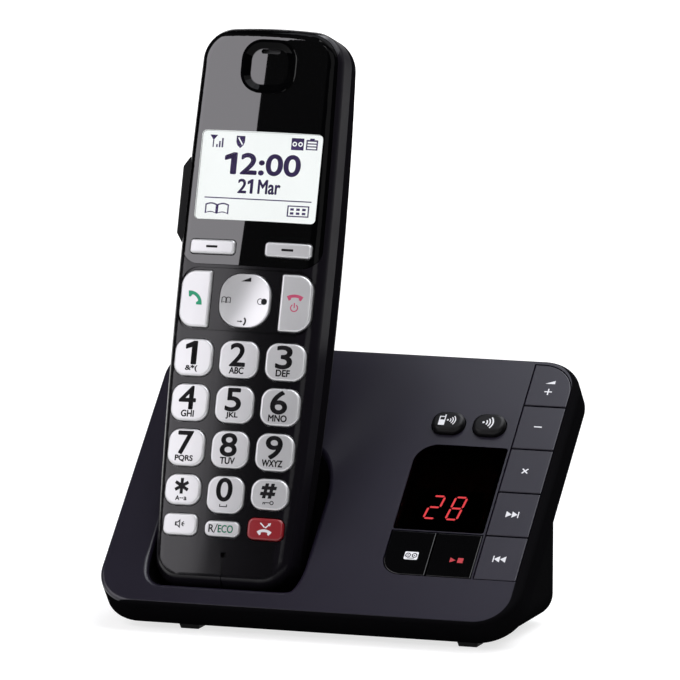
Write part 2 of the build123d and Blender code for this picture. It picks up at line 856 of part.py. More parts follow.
# Cradle pocket, square to the handset's axis
pocket_gap_left = 1.9
pocket_gap_right = 4.6
pocket_gap_front = 0.8
pocket_gap_rear = 1.2
pocket_gap_foot = 0.4
pocket_wall = 1.8
pocket_front_corner = 6.0
pocket_foot_corner = 6.0
pocket_heel = 8.0
pocket_rim_round = 1.6
pocket_rear_corner = rear_round + pocket_gap_rear
pocket_width = 2 * foot_half_width + pocket_gap_left + pocket_gap_right
pocket_centre = (pocket_gap_right - pocket_gap_left) / 2
pocket_depth = waist_depth + pocket_gap_front + pocket_gap_rear
pocket_height = 70.0


def pocket_solid(grow):
    left = pocket_centre - pocket_width / 2 - grow
    right = pocket_centre + pocket_width / 2 + grow
    front = -pocket_gap_front - grow
    rear = pocket_depth - pocket_gap_front + grow
    bottom = -pocket_gap_foot - grow
    front_corner = pocket_front_corner + grow
    rear_corner = pocket_rear_corner + grow
    foot_corner = pocket_foot_corner + grow
    plan = corner_face(left, right, front, rear, (front_corner, rear_corner) * 2)
    view = corner_face(left, right, bottom, pocket_height + overrun, (foot_corner, 0) * 2)
    with BuildPart() as pocket:
        add(block(handset_cross_plane, plan, bottom, bottom + pocket_height))
        add(block(handset_plane, view, -rear - overrun, overrun - front), mode=Mode.INTERSECT)
        with BuildSketch(handset_side_plane):
            with BuildLine():
                Polyline(
                    (-pocket_gap_foot, pocket_gap_front),
                    (pocket_height, pocket_gap_front),
                    (pocket_height, pocket_gap_front - pocket_depth),
                    (pocket_heel - pocket_gap_foot, pocket_gap_front - pocket_depth),
                    (-pocket_gap_foot, pocket_gap_front - pocket_depth + pocket_heel),
                    close=True,
                )
            make_face()
            if grow:
                offset(amount=grow, kind=Kind.INTERSECTION)
        extrude(amount=pocket_width, both=True, mode=Mode.INTERSECT)
    return pocket.part


def below_plate(solid):
    """What of a solid lies below the plate's top."""
    with BuildPart() as kept:
        add(solid)
        split(bisect_by=plate_plane, keep=Keep.BOTTOM)
    return kept.part


# Top cover: plate with a skirt, cradle pocket, key openings, window seat and screw bosses
cover_screw_drop = 10.0
cover_screw_shares = (-0.415, -0.154, 0.07)
cover_boss_radius = 3.0
cover_screw_places = [
    (base_width * share, plate_length - cover_screw_drop) for share in cover_screw_shares
]
plate_face = rounded_face((0, plate_length / 2), (base_width, plate_length), plate_corner_radius)
cover_inner_face = grown_face(plate_face, -cover_wall)
column_opening = corner_face(
    column_left - key_gap,
    column_right + key_gap,
    column_bottom - key_gap,
    column_top + key_gap,
    (0, 0, 0, column_corner + key_gap),
)
lower_opening = corner_face(
    counter_left - key_gap,
    counter_right + key_gap,
    column_bottom - key_gap,
    lower_high + key_gap,
    (counter_lower_corner + key_gap, 0, 0, 0),
)
counter_opening = grown_face(counter_face, -counter_ledge)
charge_width = 3.0
charge_length = 2.0
charge_reach = 4.0


def charge_face(grow):
    with BuildSketch() as face:
        with Locations((-contact_offset, contact_middle_depth), (contact_offset, contact_middle_depth)):
            Rectangle(charge_width + 2 * grow, charge_length + 2 * grow)
    return face.sketch


pocket_floor = pocket_gap_foot + pocket_wall
sheet_top = base_board_bottom

with BuildPart() as top_cover:
    add(block(plate_plane, plate_face, -plate_thickness, 0))
    fillet(top_cover.faces().sort_by(plate_axis)[-1].edges(), plate_edge_round)
    add(
        block(plate_plane, cover_inner_face, -plate_thickness - overrun, -cover_skin),
        mode=Mode.SUBTRACT,
    )
    add(below_plate(pocket_solid(pocket_wall)))
    add(pocket_solid(0), mode=Mode.SUBTRACT)
    top_face = top_cover.faces().filter_by(GeomType.PLANE).sort_by(plate_axis)[-1]
    fillet(top_face.inner_wires()[0].edges(), pocket_rim_round)
    boss_face = round_face(cover_screw_places, cover_boss_radius)
    add(block(plate_plane, boss_face, fit_gap - sheet_top, -cover_skin))
    boss_hole = round_face(cover_screw_places, screw_radius + seat_gap)
    add(block(plate_plane, boss_hole, -sheet_top, -cover_skin), mode=Mode.SUBTRACT)
    for opening in (column_opening, lower_opening, counter_opening):
        add(block(plate_plane, opening, -base_flange_top, overrun), mode=Mode.SUBTRACT)
    for pill_name in ("key_locator", "key_intercom"):
        pill_hole = grown_face(base_keys[pill_name][0], key_gap)
        add(block(plate_plane, pill_hole, -base_flange_top, overrun), mode=Mode.SUBTRACT)
    counter_seat = grown_face(counter_face, fit_gap)
    counter_floor = -counter_thickness - seat_gap
    add(block(plate_plane, counter_seat, counter_floor, overrun), mode=Mode.SUBTRACT)
    add(
        block(handset_cross_plane, charge_face(seat_gap), -pocket_floor - overrun, 0),
        mode=Mode.SUBTRACT,
    )
top_cover.part.label = "base_top_cover"
export_step(top_cover.part, "parts/base_top_cover.step")

# Charging contacts that stand through the floor of the cradle
with BuildPart() as base_contacts:
    add(block(handset_cross_plane, charge_face(0), -charge_reach, -fit_gap))
base_contacts.part.label = "base_charge_contacts"
export_step(base_contacts.part, "parts/base_charge_contacts.step")

# Key mat and circuit board of the base
board_margin = 4.5
base_board_corner = 2.0
mat_margin = 1.0
pill_low = pill_height - pill_length / 2
pill_high = pill_height + pill_length / 2
mat_corners = (0, 0, 0, column_corner)
mat_top_edge = column_top - mat_margin
with BuildSketch() as base_mat_face:
    add(corner_face(column_left - mat_margin, column_right, column_bottom, mat_top_edge, mat_corners))
    add(corner_face(counter_left, column_left, column_bottom, lower_high, (0, 0, 0, 0)))
    add(corner_face(pill_left - pill_width / 2, column_left, pill_low, pill_high, (0, 0, 0, 0)))

with BuildPart() as base_mat:
    add(block(plate_plane, base_mat_face.sketch, -base_board_top, -base_mat_top))
base_mat.part.label = "base_key_mat"
export_step(base_mat.part, "parts/base_key_mat.step")

board_reach = base_width / 2 - cover_wall - key_gap
board_end = plate_length - cover_wall - key_gap
with BuildPart() as base_board:
    base_board_face = corner_face(
        counter_left - board_margin,
        board_reach,
        column_bottom - board_margin,
        board_end,
        (base_board_corner, base_board_corner, base_board_corner, plate_corner_radius - cover_wall),
    )
    add(block(plate_plane, base_board_face, -base_board_bottom, -base_board_top))
base_board.part.label = "base_board"
export_step(base_board.part, "parts/base_board.step")

# Lower housing: a closing sheet inside the skirt and a wedge shaped tub below it
tub_inset = 3.7
tub_front_inset = 0.6
tub_front_corner = 12.0
tub_depth = 52.0
tub_wall = 1.8
tub_rear_round = 6.0
tub_bottom_round = 7.0
sheet_inset = cover_wall + fit_gap
speaker_share = 0.23
speaker_rise = 26.5
speaker_radius = 17.0
speaker_thickness = 8.0
speaker_magnet_radius = 8.0
speaker_rim = 2.0
grille_slot_length = 20.0
grille_slot_width = 1.6
grille_slot_pitch = 3.6
grille_slot_count = 6
socket_height = 20.0
line_socket_share = 0.092
line_socket_width = 9.8
line_socket_height = 7.0
power_socket_share = 0.23
power_socket_width = 6.6
power_socket_height = 6.0
socket_wall = 1.4
socket_depth = 11.0
socket_pocket = 9.5

tub_front = plate_plane.from_local_coords((0, 0, -plate_thickness)).Y
tub_rear = tub_front + tub_depth
tub_half_width = base_width / 2 - tub_inset
speaker_place = (base_width * speaker_share, tub_front + speaker_rise)
sheet_face = grown_face(plate_face, -sheet_inset)
rear_plane = Plane(origin=(0, tub_rear, 0), x_dir=(-1, 0, 0), z_dir=(0, 1, 0))


def wedge_solid(inset, top_level):
    """Tub below the plate, drawn in by a wall: rounded lower edges, front corners like the plate's."""
    half = tub_half_width - inset
    front = tub_front_inset + inset
    corner = tub_front_corner - inset
    lower_round = tub_bottom_round - inset
    section = corner_face(
        -half, half, foot_height + inset, 2 * plate_length, (lower_round, 0, lower_round, 0)
    )
    with BuildPart() as wedge:
        with BuildSketch(Plane.XZ.offset(inset - tub_rear)):
            add(section)
        extrude(amount=tub_depth)
        fillet(wedge.edges().filter_by(Axis.Z).group_by(Axis.Y)[-1], tub_rear_round - inset)
        with BuildSketch(plate_plane.offset(-top_level)):
            with Locations((0, front + plate_length)):
                Rectangle(2 * base_width, 2 * plate_length)
        extrude(amount=-2 * plate_length, mode=Mode.INTERSECT)
        with BuildSketch(plate_plane):
            with Locations((-half, front), (half, front)):
                Rectangle(2 * corner, 2 * corner)
            with Locations((corner - half, front + corner), (half - corner, front + corner)):
                Circle(corner + seat_gap, mode=Mode.SUBTRACT)
        extrude(amount=-plate_length, mode=Mode.SUBTRACT)
    return wedge.part


def socket_face(share, width, height):
    return rounded_face((-base_width * share, socket_height), (width, height), socket_wall / 2)


line_face = socket_face(line_socket_share, line_socket_width, line_socket_height)
power_face = socket_face(power_socket_share, power_socket_width, power_socket_height)

with BuildSketch() as grille:
    with Locations(speaker_place):
        with GridLocations(grille_slot_length, grille_slot_pitch, 1, grille_slot_count):
            SlotOverall(grille_slot_length, grille_slot_width)

with BuildPart() as lower_housing:
    add(block(plate_plane, sheet_face, -plate_thickness, -sheet_top))
    add(wedge_solid(0, plate_thickness))
    add(wedge_solid(tub_wall, 0), mode=Mode.SUBTRACT)
    sheet_hole = round_face(cover_screw_places, screw_radius + fit_gap)
    add(
        block(plate_plane, sheet_hole, -plate_thickness - overrun, -sheet_top),
        mode=Mode.SUBTRACT,
    )
    add(block(Plane.XY, grille.sketch, 0, foot_height + tub_wall), mode=Mode.SUBTRACT)
    for opening in (line_face, power_face):
        add(block(rear_plane, opening, -tub_wall, overrun), mode=Mode.SUBTRACT)
lower_housing.part.label = "base_lower_housing"
export_step(lower_housing.part, "parts/base_lower_housing.step")

# Line socket and power socket behind the rear wall
for name, opening in (("line_socket", line_face), ("power_socket", power_face)):
    with BuildPart() as socket:
        add(block(rear_plane, grown_face(opening, socket_wall), -tub_wall - socket_depth, -tub_wall))
        add(
            block(rear_plane, opening, -tub_wall - socket_pocket, -tub_wall),
            mode=Mode.SUBTRACT,
        )
    socket.part.label = name
    export_step(socket.part, f"parts/{name}.step")

# Loudspeaker over the grille in the floor of the housing
with BuildPart() as speaker:
    floor_level = foot_height + tub_wall
    frame_face = round_face([speaker_place], speaker_radius)
    magnet_face = round_face([speaker_place], speaker_magnet_radius)
    add(block(Plane.XY, frame_face, floor_level, floor_level + speaker_rim))
    add(block(Plane.XY, magnet_face, floor_level + speaker_rim, floor_level + speaker_thickness))
speaker.part.label = "base_speaker"
export_step(speaker.part, "parts/base_speaker.step")

# Screws through the closing sheet into the cover's bosses
base_screw_length = 5.5
with BuildPart() as base_screws:
    shank = round_face(cover_screw_places, screw_radius)
    head = round_face(cover_screw_places, screw_head_radius)
    drive = round_face(cover_screw_places, drive_radius)
    head_end = -plate_thickness - screw_head_height
    add(block(plate_plane, shank, -plate_thickness, base_screw_length - plate_thickness))
    add(block(plate_plane, head, head_end, -plate_thickness))
    add(block(plate_plane, drive, head_end, head_end + drive_depth), mode=Mode.SUBTRACT)
base_screws.part.label = "base_screws"
export_step(base_screws.part, "parts/base_screws.step")

# Rubber feet, wider at the top
front_foot_shares = (-0.288, 0.373)
rear_foot_shares = (-0.369, 0.369)
foot_width = 7.0
foot_length = 8.0
foot_corner = 1.0
foot_taper = 20.0
foot_front_gap = 3.0
foot_rear_gap = 7.0
front_foot_y = tub_front + foot_front_gap + foot_length / 2
rear_foot_y = tub_rear - foot_rear_gap - foot_length / 2
foot_places = [(base_width * share, front_foot_y) for share in front_foot_shares]
foot_places += [(base_width * share, rear_foot_y) for share in rear_foot_shares]
with BuildPart() as feet:
    with BuildSketch(Plane.XY.offset(foot_height)):
        with Locations(*foot_places):
            RectangleRounded(foot_width, foot_length, foot_corner)
    extrude(amount=-foot_height, taper=foot_taper)
feet.part.label = "base_feet"
export_step(feet.part, "parts/base_feet.step")
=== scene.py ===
import json
import math

import bpy
import numpy as np
from mathutils import Matrix


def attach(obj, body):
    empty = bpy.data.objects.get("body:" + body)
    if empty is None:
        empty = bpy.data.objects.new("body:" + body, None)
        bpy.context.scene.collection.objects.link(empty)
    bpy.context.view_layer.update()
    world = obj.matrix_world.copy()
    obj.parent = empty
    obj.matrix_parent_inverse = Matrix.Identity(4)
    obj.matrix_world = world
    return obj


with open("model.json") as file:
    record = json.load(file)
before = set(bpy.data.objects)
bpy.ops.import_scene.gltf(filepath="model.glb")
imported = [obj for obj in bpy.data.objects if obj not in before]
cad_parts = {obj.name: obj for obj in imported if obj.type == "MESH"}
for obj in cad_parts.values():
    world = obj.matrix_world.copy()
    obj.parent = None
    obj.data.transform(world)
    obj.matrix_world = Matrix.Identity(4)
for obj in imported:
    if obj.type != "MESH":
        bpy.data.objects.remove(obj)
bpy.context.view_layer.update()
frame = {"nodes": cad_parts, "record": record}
nodes = frame["nodes"]
slotOf = {part["node"]: part["material_slot"] for part in frame["record"]["subparts"]}
scene = bpy.context.scene
mm = 0.001

# The working faces: handset front, base plate and rear wall, each with an origin and its own x, y and outward z
faces = {
    "handset": {"origin": (-28.2, -33.4204, 13.2236), "lean": 17.3, "crown": 180.0},
    "plate": {"origin": (0.0, -40.6767, 8.7406), "slope": 41.5},
    "rear": {"origin": (0.0, 17.2868, 0.0)},
}
lean = math.radians(faces["handset"]["lean"])
slope = math.radians(faces["plate"]["slope"])
axesOf = {
    "handset": np.array([
        (1, 0, 0), (0, math.sin(lean), math.cos(lean)), (0, -math.cos(lean), math.sin(lean)),
    ]),
    "plate": np.array([
        (1, 0, 0), (0, math.cos(slope), math.sin(slope)), (0, -math.sin(slope), math.cos(slope)),
    ]),
    "rear": np.array([(-1.0, 0, 0), (0, 0, 1), (0, 1, 0)]),
}


# world = origin + x times the face's x axis + y times its y axis + z times its outward axis
def toWorld(local, face):
    return (np.asarray(faces[face]["origin"]) + local @ axesOf[face]) * mm


# local = world less the origin, measured along the face's three axes
def toLocal(world, face):
    return (np.asarray(world) / mm - np.asarray(faces[face]["origin"])) @ axesOf[face].T


def meshPoints(mesh):
    points = np.empty(len(mesh.vertices) * 3)
    mesh.vertices.foreach_get("co", points)
    return points.reshape(-1, 3)


# middle of a node's extent along each axis of a face
def nodeMiddle(name, face):
    local = toLocal(meshPoints(nodes[name].data), face)
    return (local.min(0) + local.max(0)) / 2


def putMesh(name, points, triangles, material, body, smooth=False):
    mesh = bpy.data.meshes.new(name)
    mesh.from_pydata(points.tolist(), [], triangles.tolist())
    mesh.materials.append(material)
    if smooth:
        mesh.shade_smooth()
    piece = bpy.data.objects.new(name, mesh)
    scene.collection.objects.link(piece)
    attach(piece, body)


# a number or a colour is set on the socket, anything else is linked to it
def feed(tree, socket, value):
    if isinstance(value, tuple):
        socket.default_value = (*value, 1.0)
    elif isinstance(value, (int, float)):
        socket.default_value = value
    else:
        tree.links.new(value, socket)


def mathNode(tree, operation, first, second=0.0):
    node = tree.nodes.new("ShaderNodeMath")
    node.operation = operation
    feed(tree, node.inputs[0], first)
    feed(tree, node.inputs[1], second)
    return node.outputs[0]


def vectorNode(tree, operation, first, second=None):
    node = tree.nodes.new("ShaderNodeVectorMath")
    node.operation = operation
    tree.links.new(first, node.inputs[0])
    if second is not None:
        node.inputs[1].default_value = second
    return node.outputs


# a value carried from one range to another, and held at its ends
def spread(tree, value, low, high, fromLow=0.0, fromHigh=1.0):
    node = tree.nodes.new("ShaderNodeMapRange")
    ends = {"Value": value, "From Min": fromLow, "From Max": fromHigh, "To Min": low, "To Max": high}
    for label, amount in ends.items():
        feed(tree, node.inputs[label], amount)
    return node.outputs["Result"]


def mixColour(tree, factor, first, second):
    node = tree.nodes.new("ShaderNodeMix")
    node.data_type = "RGBA"
    for label, value in (("Factor", factor), ("A", first), ("B", second)):
        feed(tree, node.inputs[label], value)
    return node.outputs["Result"]


def objectCoords(tree):
    return tree.nodes.new("ShaderNodeTexCoord").outputs["Object"]


# noise at a multiple of a group's scale
def noiseNode(tree, coords, scale, times, detail):
    noise = tree.nodes.new("ShaderNodeTexNoise")
    noise.inputs["Detail"].default_value = detail
    tree.links.new(coords, noise.inputs["Vector"])
    tree.links.new(mathNode(tree, "MULTIPLY", scale, times), noise.inputs["Scale"])
    return noise.outputs["Fac"]


# two values added in given shares
def blendNode(tree, first, second, shares):
    parts = [mathNode(tree, "MULTIPLY", value, share) for value, share in zip((first, second), shares)]
    return mathNode(tree, "ADD", *parts)


# Shared shader effects: groups with plain number inputs and outputs
def newGroup(name, inputs, outputs):
    tree = bpy.data.node_groups.new(name, "ShaderNodeTree")
    for label, value in inputs.items():
        socket = tree.interface.new_socket(label, in_out="INPUT", socket_type="NodeSocketFloat")
        socket.default_value = value
    for label in outputs:
        tree.interface.new_socket(label, in_out="OUTPUT", socket_type="NodeSocketFloat")
    return tree, tree.nodes.new("NodeGroupInput").outputs, tree.nodes.new("NodeGroupOutput").inputs


# moulded grain: two octaves of fine noise for the height, one slow noise for the tone;
# each noise has its multiple of the scale and its detail
grainLook = {"inputs": {"Scale": 1800.0}, "fine": (1.0, 2.0), "finer": (2.7, 1.0), "slow": (0.018, 3.0),
             "shares": (0.65, 0.35), "toneFrom": (0.3, 0.7)}


def mouldedGrain():
    tree, entry, leave = newGroup("mouldedGrain", grainLook["inputs"], ("Height", "Tone"))
    coords = objectCoords(tree)
    fine, finer, slow = (noiseNode(tree, coords, entry["Scale"], *grainLook[k]) for k in ("fine", "finer", "slow"))
    tree.links.new(blendNode(tree, fine, finer, grainLook["shares"]), leave["Height"])
    tree.links.new(spread(tree, slow, 0.0, 1.0, *grainLook["toneFrom"]), leave["Tone"])
    return tree


# handled gloss: slow blotches, and thin streaks where fingers have wiped, between two roughness values
glossLook = {"inputs": {"Scale": 70.0, "Low": 0.3, "High": 0.4}, "blotch": (1.0, 4.0), "streak": (6.0, 2.0),
             "stretch": (1.0, 0.35, 0.35), "shares": (0.7, 0.3), "from": (0.3, 0.7)}


def handledGloss():
    tree, entry, leave = newGroup("handledGloss", glossLook["inputs"], ("Roughness",))
    coords = objectCoords(tree)
    stretch = tree.nodes.new("ShaderNodeMapping")
    stretch.inputs["Scale"].default_value = glossLook["stretch"]
    tree.links.new(coords, stretch.inputs["Vector"])
    blotch = noiseNode(tree, coords, entry["Scale"], *glossLook["blotch"])
    streak = noiseNode(tree, stretch.outputs["Vector"], entry["Scale"], *glossLook["streak"])
    mixed = blendNode(tree, blotch, streak, glossLook["shares"])
    rough = spread(tree, mixed, entry["Low"], entry["High"], *glossLook["from"])
    tree.links.new(rough, leave["Roughness"])
    return tree


groups = {"grain": mouldedGrain(), "gloss": handledGloss()}
print("shader groups:", ", ".join(tree.name for tree in groups.values()))


def groupNode(tree, kind, **values):
    node = tree.nodes.new("ShaderNodeGroup")
    node.node_tree = groups[kind]
    for label, value in values.items():
        node.inputs[label].default_value = value
    return node.outputs


def newMaterial(name):
    material = bpy.data.materials.new(name)
    material.use_nodes = True
    return material, material.node_tree, material.node_tree.nodes["Principled BSDF"]


def roughen(tree, shader, rough):
    gloss = groupNode(tree, "gloss", Low=rough[0], High=rough[1])
    tree.links.new(gloss["Roughness"], shader.inputs["Roughness"])


# Finishes: two tones, a roughness range, and the scale and depth of the moulded grain;
# what a finish leaves out is plain
plainFinish = {"depth": 0.0, "bumpStrength": 0.6, "metallic": 0.0, "specular": 0.5, "coat": 0.0, "coatRough": 0.12,
               "coatIor": 1.5}
finishSockets = {"metallic": "Metallic", "specular": "Specular IOR Level", "coat": "Coat Weight",
                 "coatRough": "Coat Roughness", "coatIor": "Coat IOR"}
finishes = {
    "rockerSatin": {"tones": ((0.0020, 0.0019, 0.0023), (0.0034, 0.0032, 0.0038)), "rough": (0.28, 0.36),
                    "grain": 1700.0, "depth": 0.008, "specular": 0.15},
    "keySilver": {"tones": ((0.64, 0.64, 0.645), (0.70, 0.70, 0.705)), "rough": (0.285, 0.335), "grain": 1200.0,
                  "metallic": 0.45},
    "keyRed": {"tones": ((0.27, 0.010, 0.016), (0.33, 0.015, 0.022)), "rough": (0.285, 0.345), "grain": 1200.0,
               "depth": 0.004, "coat": 0.3},
    "plateSatin": {"tones": ((0.0085, 0.0066, 0.0145), (0.0115, 0.0092, 0.0190)), "rough": (0.33, 0.41),
                   "grain": 1500.0, "depth": 0.006},
    "pillBlack": {"tones": ((0.0022, 0.0020, 0.0024), (0.0045, 0.0042, 0.0048)), "rough": (0.36, 0.46),
                  "grain": 2400.0, "depth": 0.03, "specular": 0.2},
    "counterGloss": {"tones": ((0.0010, 0.0010, 0.0012), (0.0018, 0.0018, 0.0021)), "rough": (0.01, 0.04),
                     "grain": 300.0},
    "footRubber": {"tones": ((0.006, 0.006, 0.006), (0.012, 0.012, 0.012)), "rough": (0.70, 0.85),
                   "grain": 900.0, "depth": 0.05, "specular": 0.2},
    "matRubber": {"tones": ((0.30, 0.30, 0.31), (0.36, 0.36, 0.37)), "rough": (0.6, 0.75), "grain": 900.0,
                  "depth": 0.03},
    "socketBlack": {"tones": ((0.006, 0.006, 0.006), (0.012, 0.012, 0.012)), "rough": (0.4, 0.5),
                    "grain": 1500.0, "depth": 0.01},
    "canBlack": {"tones": ((0.02, 0.02, 0.022), (0.035, 0.035, 0.037)), "rough": (0.35, 0.5), "grain": 800.0,
                 "depth": 0.02},
    "screwZinc": {"tones": ((0.52, 0.52, 0.53), (0.66, 0.66, 0.68)), "rough": (0.24, 0.42), "grain": 2600.0,
                  "depth": 0.02, "metallic": 1.0},
    "contactGold": {"tones": ((0.70, 0.50, 0.20), (0.80, 0.60, 0.27)), "rough": (0.18, 0.32), "grain": 2600.0,
                    "depth": 0.01, "metallic": 1.0},
    "inkBlack": {"tones": ((0.0050, 0.0044, 0.0054), (0.0085, 0.0076, 0.0090)), "rough": (0.5, 0.6),
                 "grain": 3000.0, "depth": 0.004, "specular": 0.15},
    "inkWhite": {"tones": ((0.72, 0.72, 0.74), (0.82, 0.82, 0.84)), "rough": (0.42, 0.52), "grain": 3000.0,
                 "depth": 0.004, "specular": 0.3},
    "inkGreen": {"tones": ((0.015, 0.31, 0.15), (0.022, 0.37, 0.19)), "rough": (0.42, 0.52), "grain": 3000.0,
                 "depth": 0.004, "specular": 0.3},
    "inkRed": {"tones": ((0.46, 0.035, 0.045), (0.54, 0.05, 0.06)), "rough": (0.42, 0.52), "grain": 3000.0,
               "depth": 0.004, "specular": 0.3},
    "inkPink": {"tones": ((0.52, 0.070, 0.15), (0.60, 0.090, 0.185)), "rough": (0.42, 0.52), "grain": 3000.0,
                "depth": 0.004, "specular": 0.3},
    "screenInk": {"tones": ((0.036, 0.022, 0.078), (0.048, 0.031, 0.098)), "rough": (0.5, 0.6),
                  "grain": 3000.0, "specular": 0.1},
}


def buildFinish(name, spec):
    spec = {**plainFinish, **spec}
    material, tree, shader = newMaterial(name)
    grain = groupNode(tree, "grain", Scale=spec["grain"])
    tree.links.new(mixColour(tree, grain["Tone"], *spec["tones"]), shader.inputs["Base Color"])
    roughen(tree, shader, spec["rough"])
    if spec["depth"] > 0:
        bump = tree.nodes.new("ShaderNodeBump")
        bump.inputs["Distance"].default_value = spec["depth"] * mm
        bump.inputs["Strength"].default_value = spec["bumpStrength"]
        tree.links.new(grain["Height"], bump.inputs["Height"])
        tree.links.new(bump.outputs["Normal"], shader.inputs["Normal"])
    for key, label in finishSockets.items():
        shader.inputs[label].default_value = spec[key]
    return material, tree, shader


finish = {name: buildFinish(name, spec)[0] for name, spec in finishes.items()}

# Faces with a clear coat that ends at a rim: the cover's sloping top, the handset's front and back, and the rear
# wall. The coat's weight rises from none to full over a short soft way up to the rim, and where that way is below
# zero the coat lies under the rim. Borders close it in, a ring is left bare, and the sides have their own tone; on
# the handset's front shell that lighter violet side tone is a painted reflection band along its sides and right
# edge
coatedFaces = {
    "coverSatin": {
        **finishes["plateSatin"], "specular": 0.0, "sides": (0.0042, 0.0040, 0.0046),
        "face": "plate", "rim": -0.9, "soft": 0.25, "coatRough": 0.31,
        "borders": [{"right": 62.3, "low": 0.8, "high": 99.4, "corner": 10.2, "soft": 0.2}],
    },
    "fasciaFront": {
        "tones": ((0.0010, 0.0010, 0.0012), (0.0018, 0.0018, 0.0021)), "rough": (0.008, 0.03), "grain": 300.0,
        "specular": 0.05, "sides": (0.0012, 0.0012, 0.0014),
        "face": "handset", "rim": -1.25, "soft": 0.6, "coatRough": 0.015, "coatIor": 1.8,
        "borders": [{"right": 18.2, "low": 60.0, "high": 165.8, "corner": 7.0, "soft": 0.4}],
        "ring": ({"right": 8.45, "low": 147.95, "high": 164.05, "corner": 6.2, "soft": 0.1},
                 {"right": 5.9, "low": 150.5, "high": 161.5, "corner": 3.7, "soft": 0.3}),
    },
    "shellFront": {
        "tones": ((0.0026, 0.0023, 0.0031), (0.0040, 0.0036, 0.0048)), "rough": (0.36, 0.44), "grain": 1700.0,
        # the lighter violet sides tone, also worn past the borders at the right edge, is a painted reflection band
        "depth": 0.004, "specular": 0.015, "sides": (0.0070, 0.0060, 0.0085),
        "face": "handset", "rim": -3.2, "soft": 0.8, "coatRough": 0.16, "coatIor": 1.44,
        "borders": [{"right": 17.2, "low": -20.0, "high": 190.0, "corner": 7.0, "soft": 1.5, "rest": 0.3},
                    {"right": 22.0, "low": 2.2, "high": 190.0, "corner": 10.0, "soft": 1.5}],
    },
    "shellRear": {
        "tones": ((0.0020, 0.0018, 0.0022), (0.0032, 0.0029, 0.0035)), "rough": (0.38, 0.48), "grain": 1400.0,
        "depth": 0.02, "specular": 0.0, "sides": (0.0052, 0.0047, 0.0058),
        "face": "handset", "rim": -21.0, "soft": -3.0, "coatRough": 0.36,
    },
    "housingRear": {
        "tones": ((0.0014, 0.0014, 0.0016), (0.0028, 0.0028, 0.0031)), "rough": (0.50, 0.60), "grain": 1000.0,
        "depth": 0.03, "specular": 0.0, "sides": (0.0052, 0.0051, 0.0056),
        "face": "rear", "rim": -0.4, "soft": 4.0, "coatRough": 0.42,
    },
}


# place of a point along one axis of a face: its place less the face's origin, along that axis, in metres
def placeAlong(tree, face, axis):
    origin = [value * mm for value in faces[face]["origin"]]
    shifted = vectorNode(tree, "SUBTRACT", objectCoords(tree), origin)["Vector"]
    return vectorNode(tree, "DOT_PRODUCT", shifted, axesOf[face][axis])["Value"]


# one inside a border with rounded corners on the right, or on both sides where it is mirrored, and none or
# the rest outside: what goes past the corner's middle, across and up or down, gives a length, and the border
# is where that length is the corner's radius
def insideBorder(tree, face, border, mirrored=False):
    corner = border["corner"] * mm
    across, up = placeAlong(tree, face, 0), placeAlong(tree, face, 1)
    if mirrored:
        across = mathNode(tree, "ABSOLUTE", across)
    overRight = mathNode(tree, "MAXIMUM", mathNode(tree, "SUBTRACT", across, border["right"] * mm - corner), 0.0)
    overLow = mathNode(tree, "SUBTRACT", border["low"] * mm + corner, up)
    overHigh = mathNode(tree, "SUBTRACT", up, border["high"] * mm - corner)
    over = mathNode(tree, "MAXIMUM", mathNode(tree, "MAXIMUM", overLow, overHigh), 0.0)
    squares = [mathNode(tree, "POWER", length, 2.0) for length in (overRight, over)]
    reach = mathNode(tree, "SQRT", mathNode(tree, "ADD", *squares))
    return spread(tree, reach, 1.0, border.get("rest", 0.0), corner - border["soft"] * mm, corner)


def buildCoated(name, spec):
    material, tree, shader = buildFinish(name, spec)
    face, rim = spec["face"], spec["rim"] * mm
    colour = shader.inputs["Base Color"].links[0].from_socket
    mask = spread(tree, placeAlong(tree, face, 2), 0.0, 1.0, rim - spec["soft"] * mm, rim)
    for border in spec.get("borders", []):
        mask = mathNode(tree, "MULTIPLY", mask, insideBorder(tree, face, border))
    if "ring" in spec:
        outer, inner = (insideBorder(tree, face, border, mirrored=True) for border in spec["ring"])
        bare = mathNode(tree, "SUBTRACT", outer, inner)
        mask = mathNode(tree, "MULTIPLY", mask, mathNode(tree, "SUBTRACT", 1.0, bare))
    # outside the coat the colour turns to the sides tone; on the front shell that tone is a painted reflection
    # band
    tree.links.new(mixColour(tree, mask, spec["sides"], colour), shader.inputs["Base Color"])
    tree.links.new(mask, shader.inputs["Coat Weight"])
    return material


finish.update({name: buildCoated(name, spec) for name, spec in coatedFaces.items()})

# Clear lens and smoked window: glass that lets lamps shine through to what lies behind
glasses = {
    "lensClear": {"tint": (0.97, 0.98, 0.98), "rough": (0.0, 0.002), "ior": 1.1},
    "windowSmoked": {"tint": (0.12, 0.03, 0.032), "rough": (0.0, 0.01), "ior": 1.12},
}


def buildGlass(name, spec):
    material, tree, shader = newMaterial(name)
    feed(tree, shader.inputs["Base Color"], spec["tint"])
    shader.inputs["Transmission Weight"].default_value = 1.0
    shader.inputs["IOR"].default_value = spec["ior"]
    roughen(tree, shader, spec["rough"])
    through = tree.nodes.new("ShaderNodeBsdfTransparent")
    feed(tree, through.inputs["Color"], spec["tint"])
    path = tree.nodes.new("ShaderNodeLightPath")
    blend = tree.nodes.new("ShaderNodeMixShader")
    tree.links.new(path.outputs["Is Shadow Ray"], blend.inputs["Fac"])
    tree.links.new(shader.outputs["BSDF"], blend.inputs[1])
    tree.links.new(through.outputs["BSDF"], blend.inputs[2])
    tree.links.new(blend.outputs["Shader"], tree.nodes["Material Output"].inputs["Surface"])
    return material


finish.update({name: buildGlass(name, spec) for name, spec in glasses.items()})
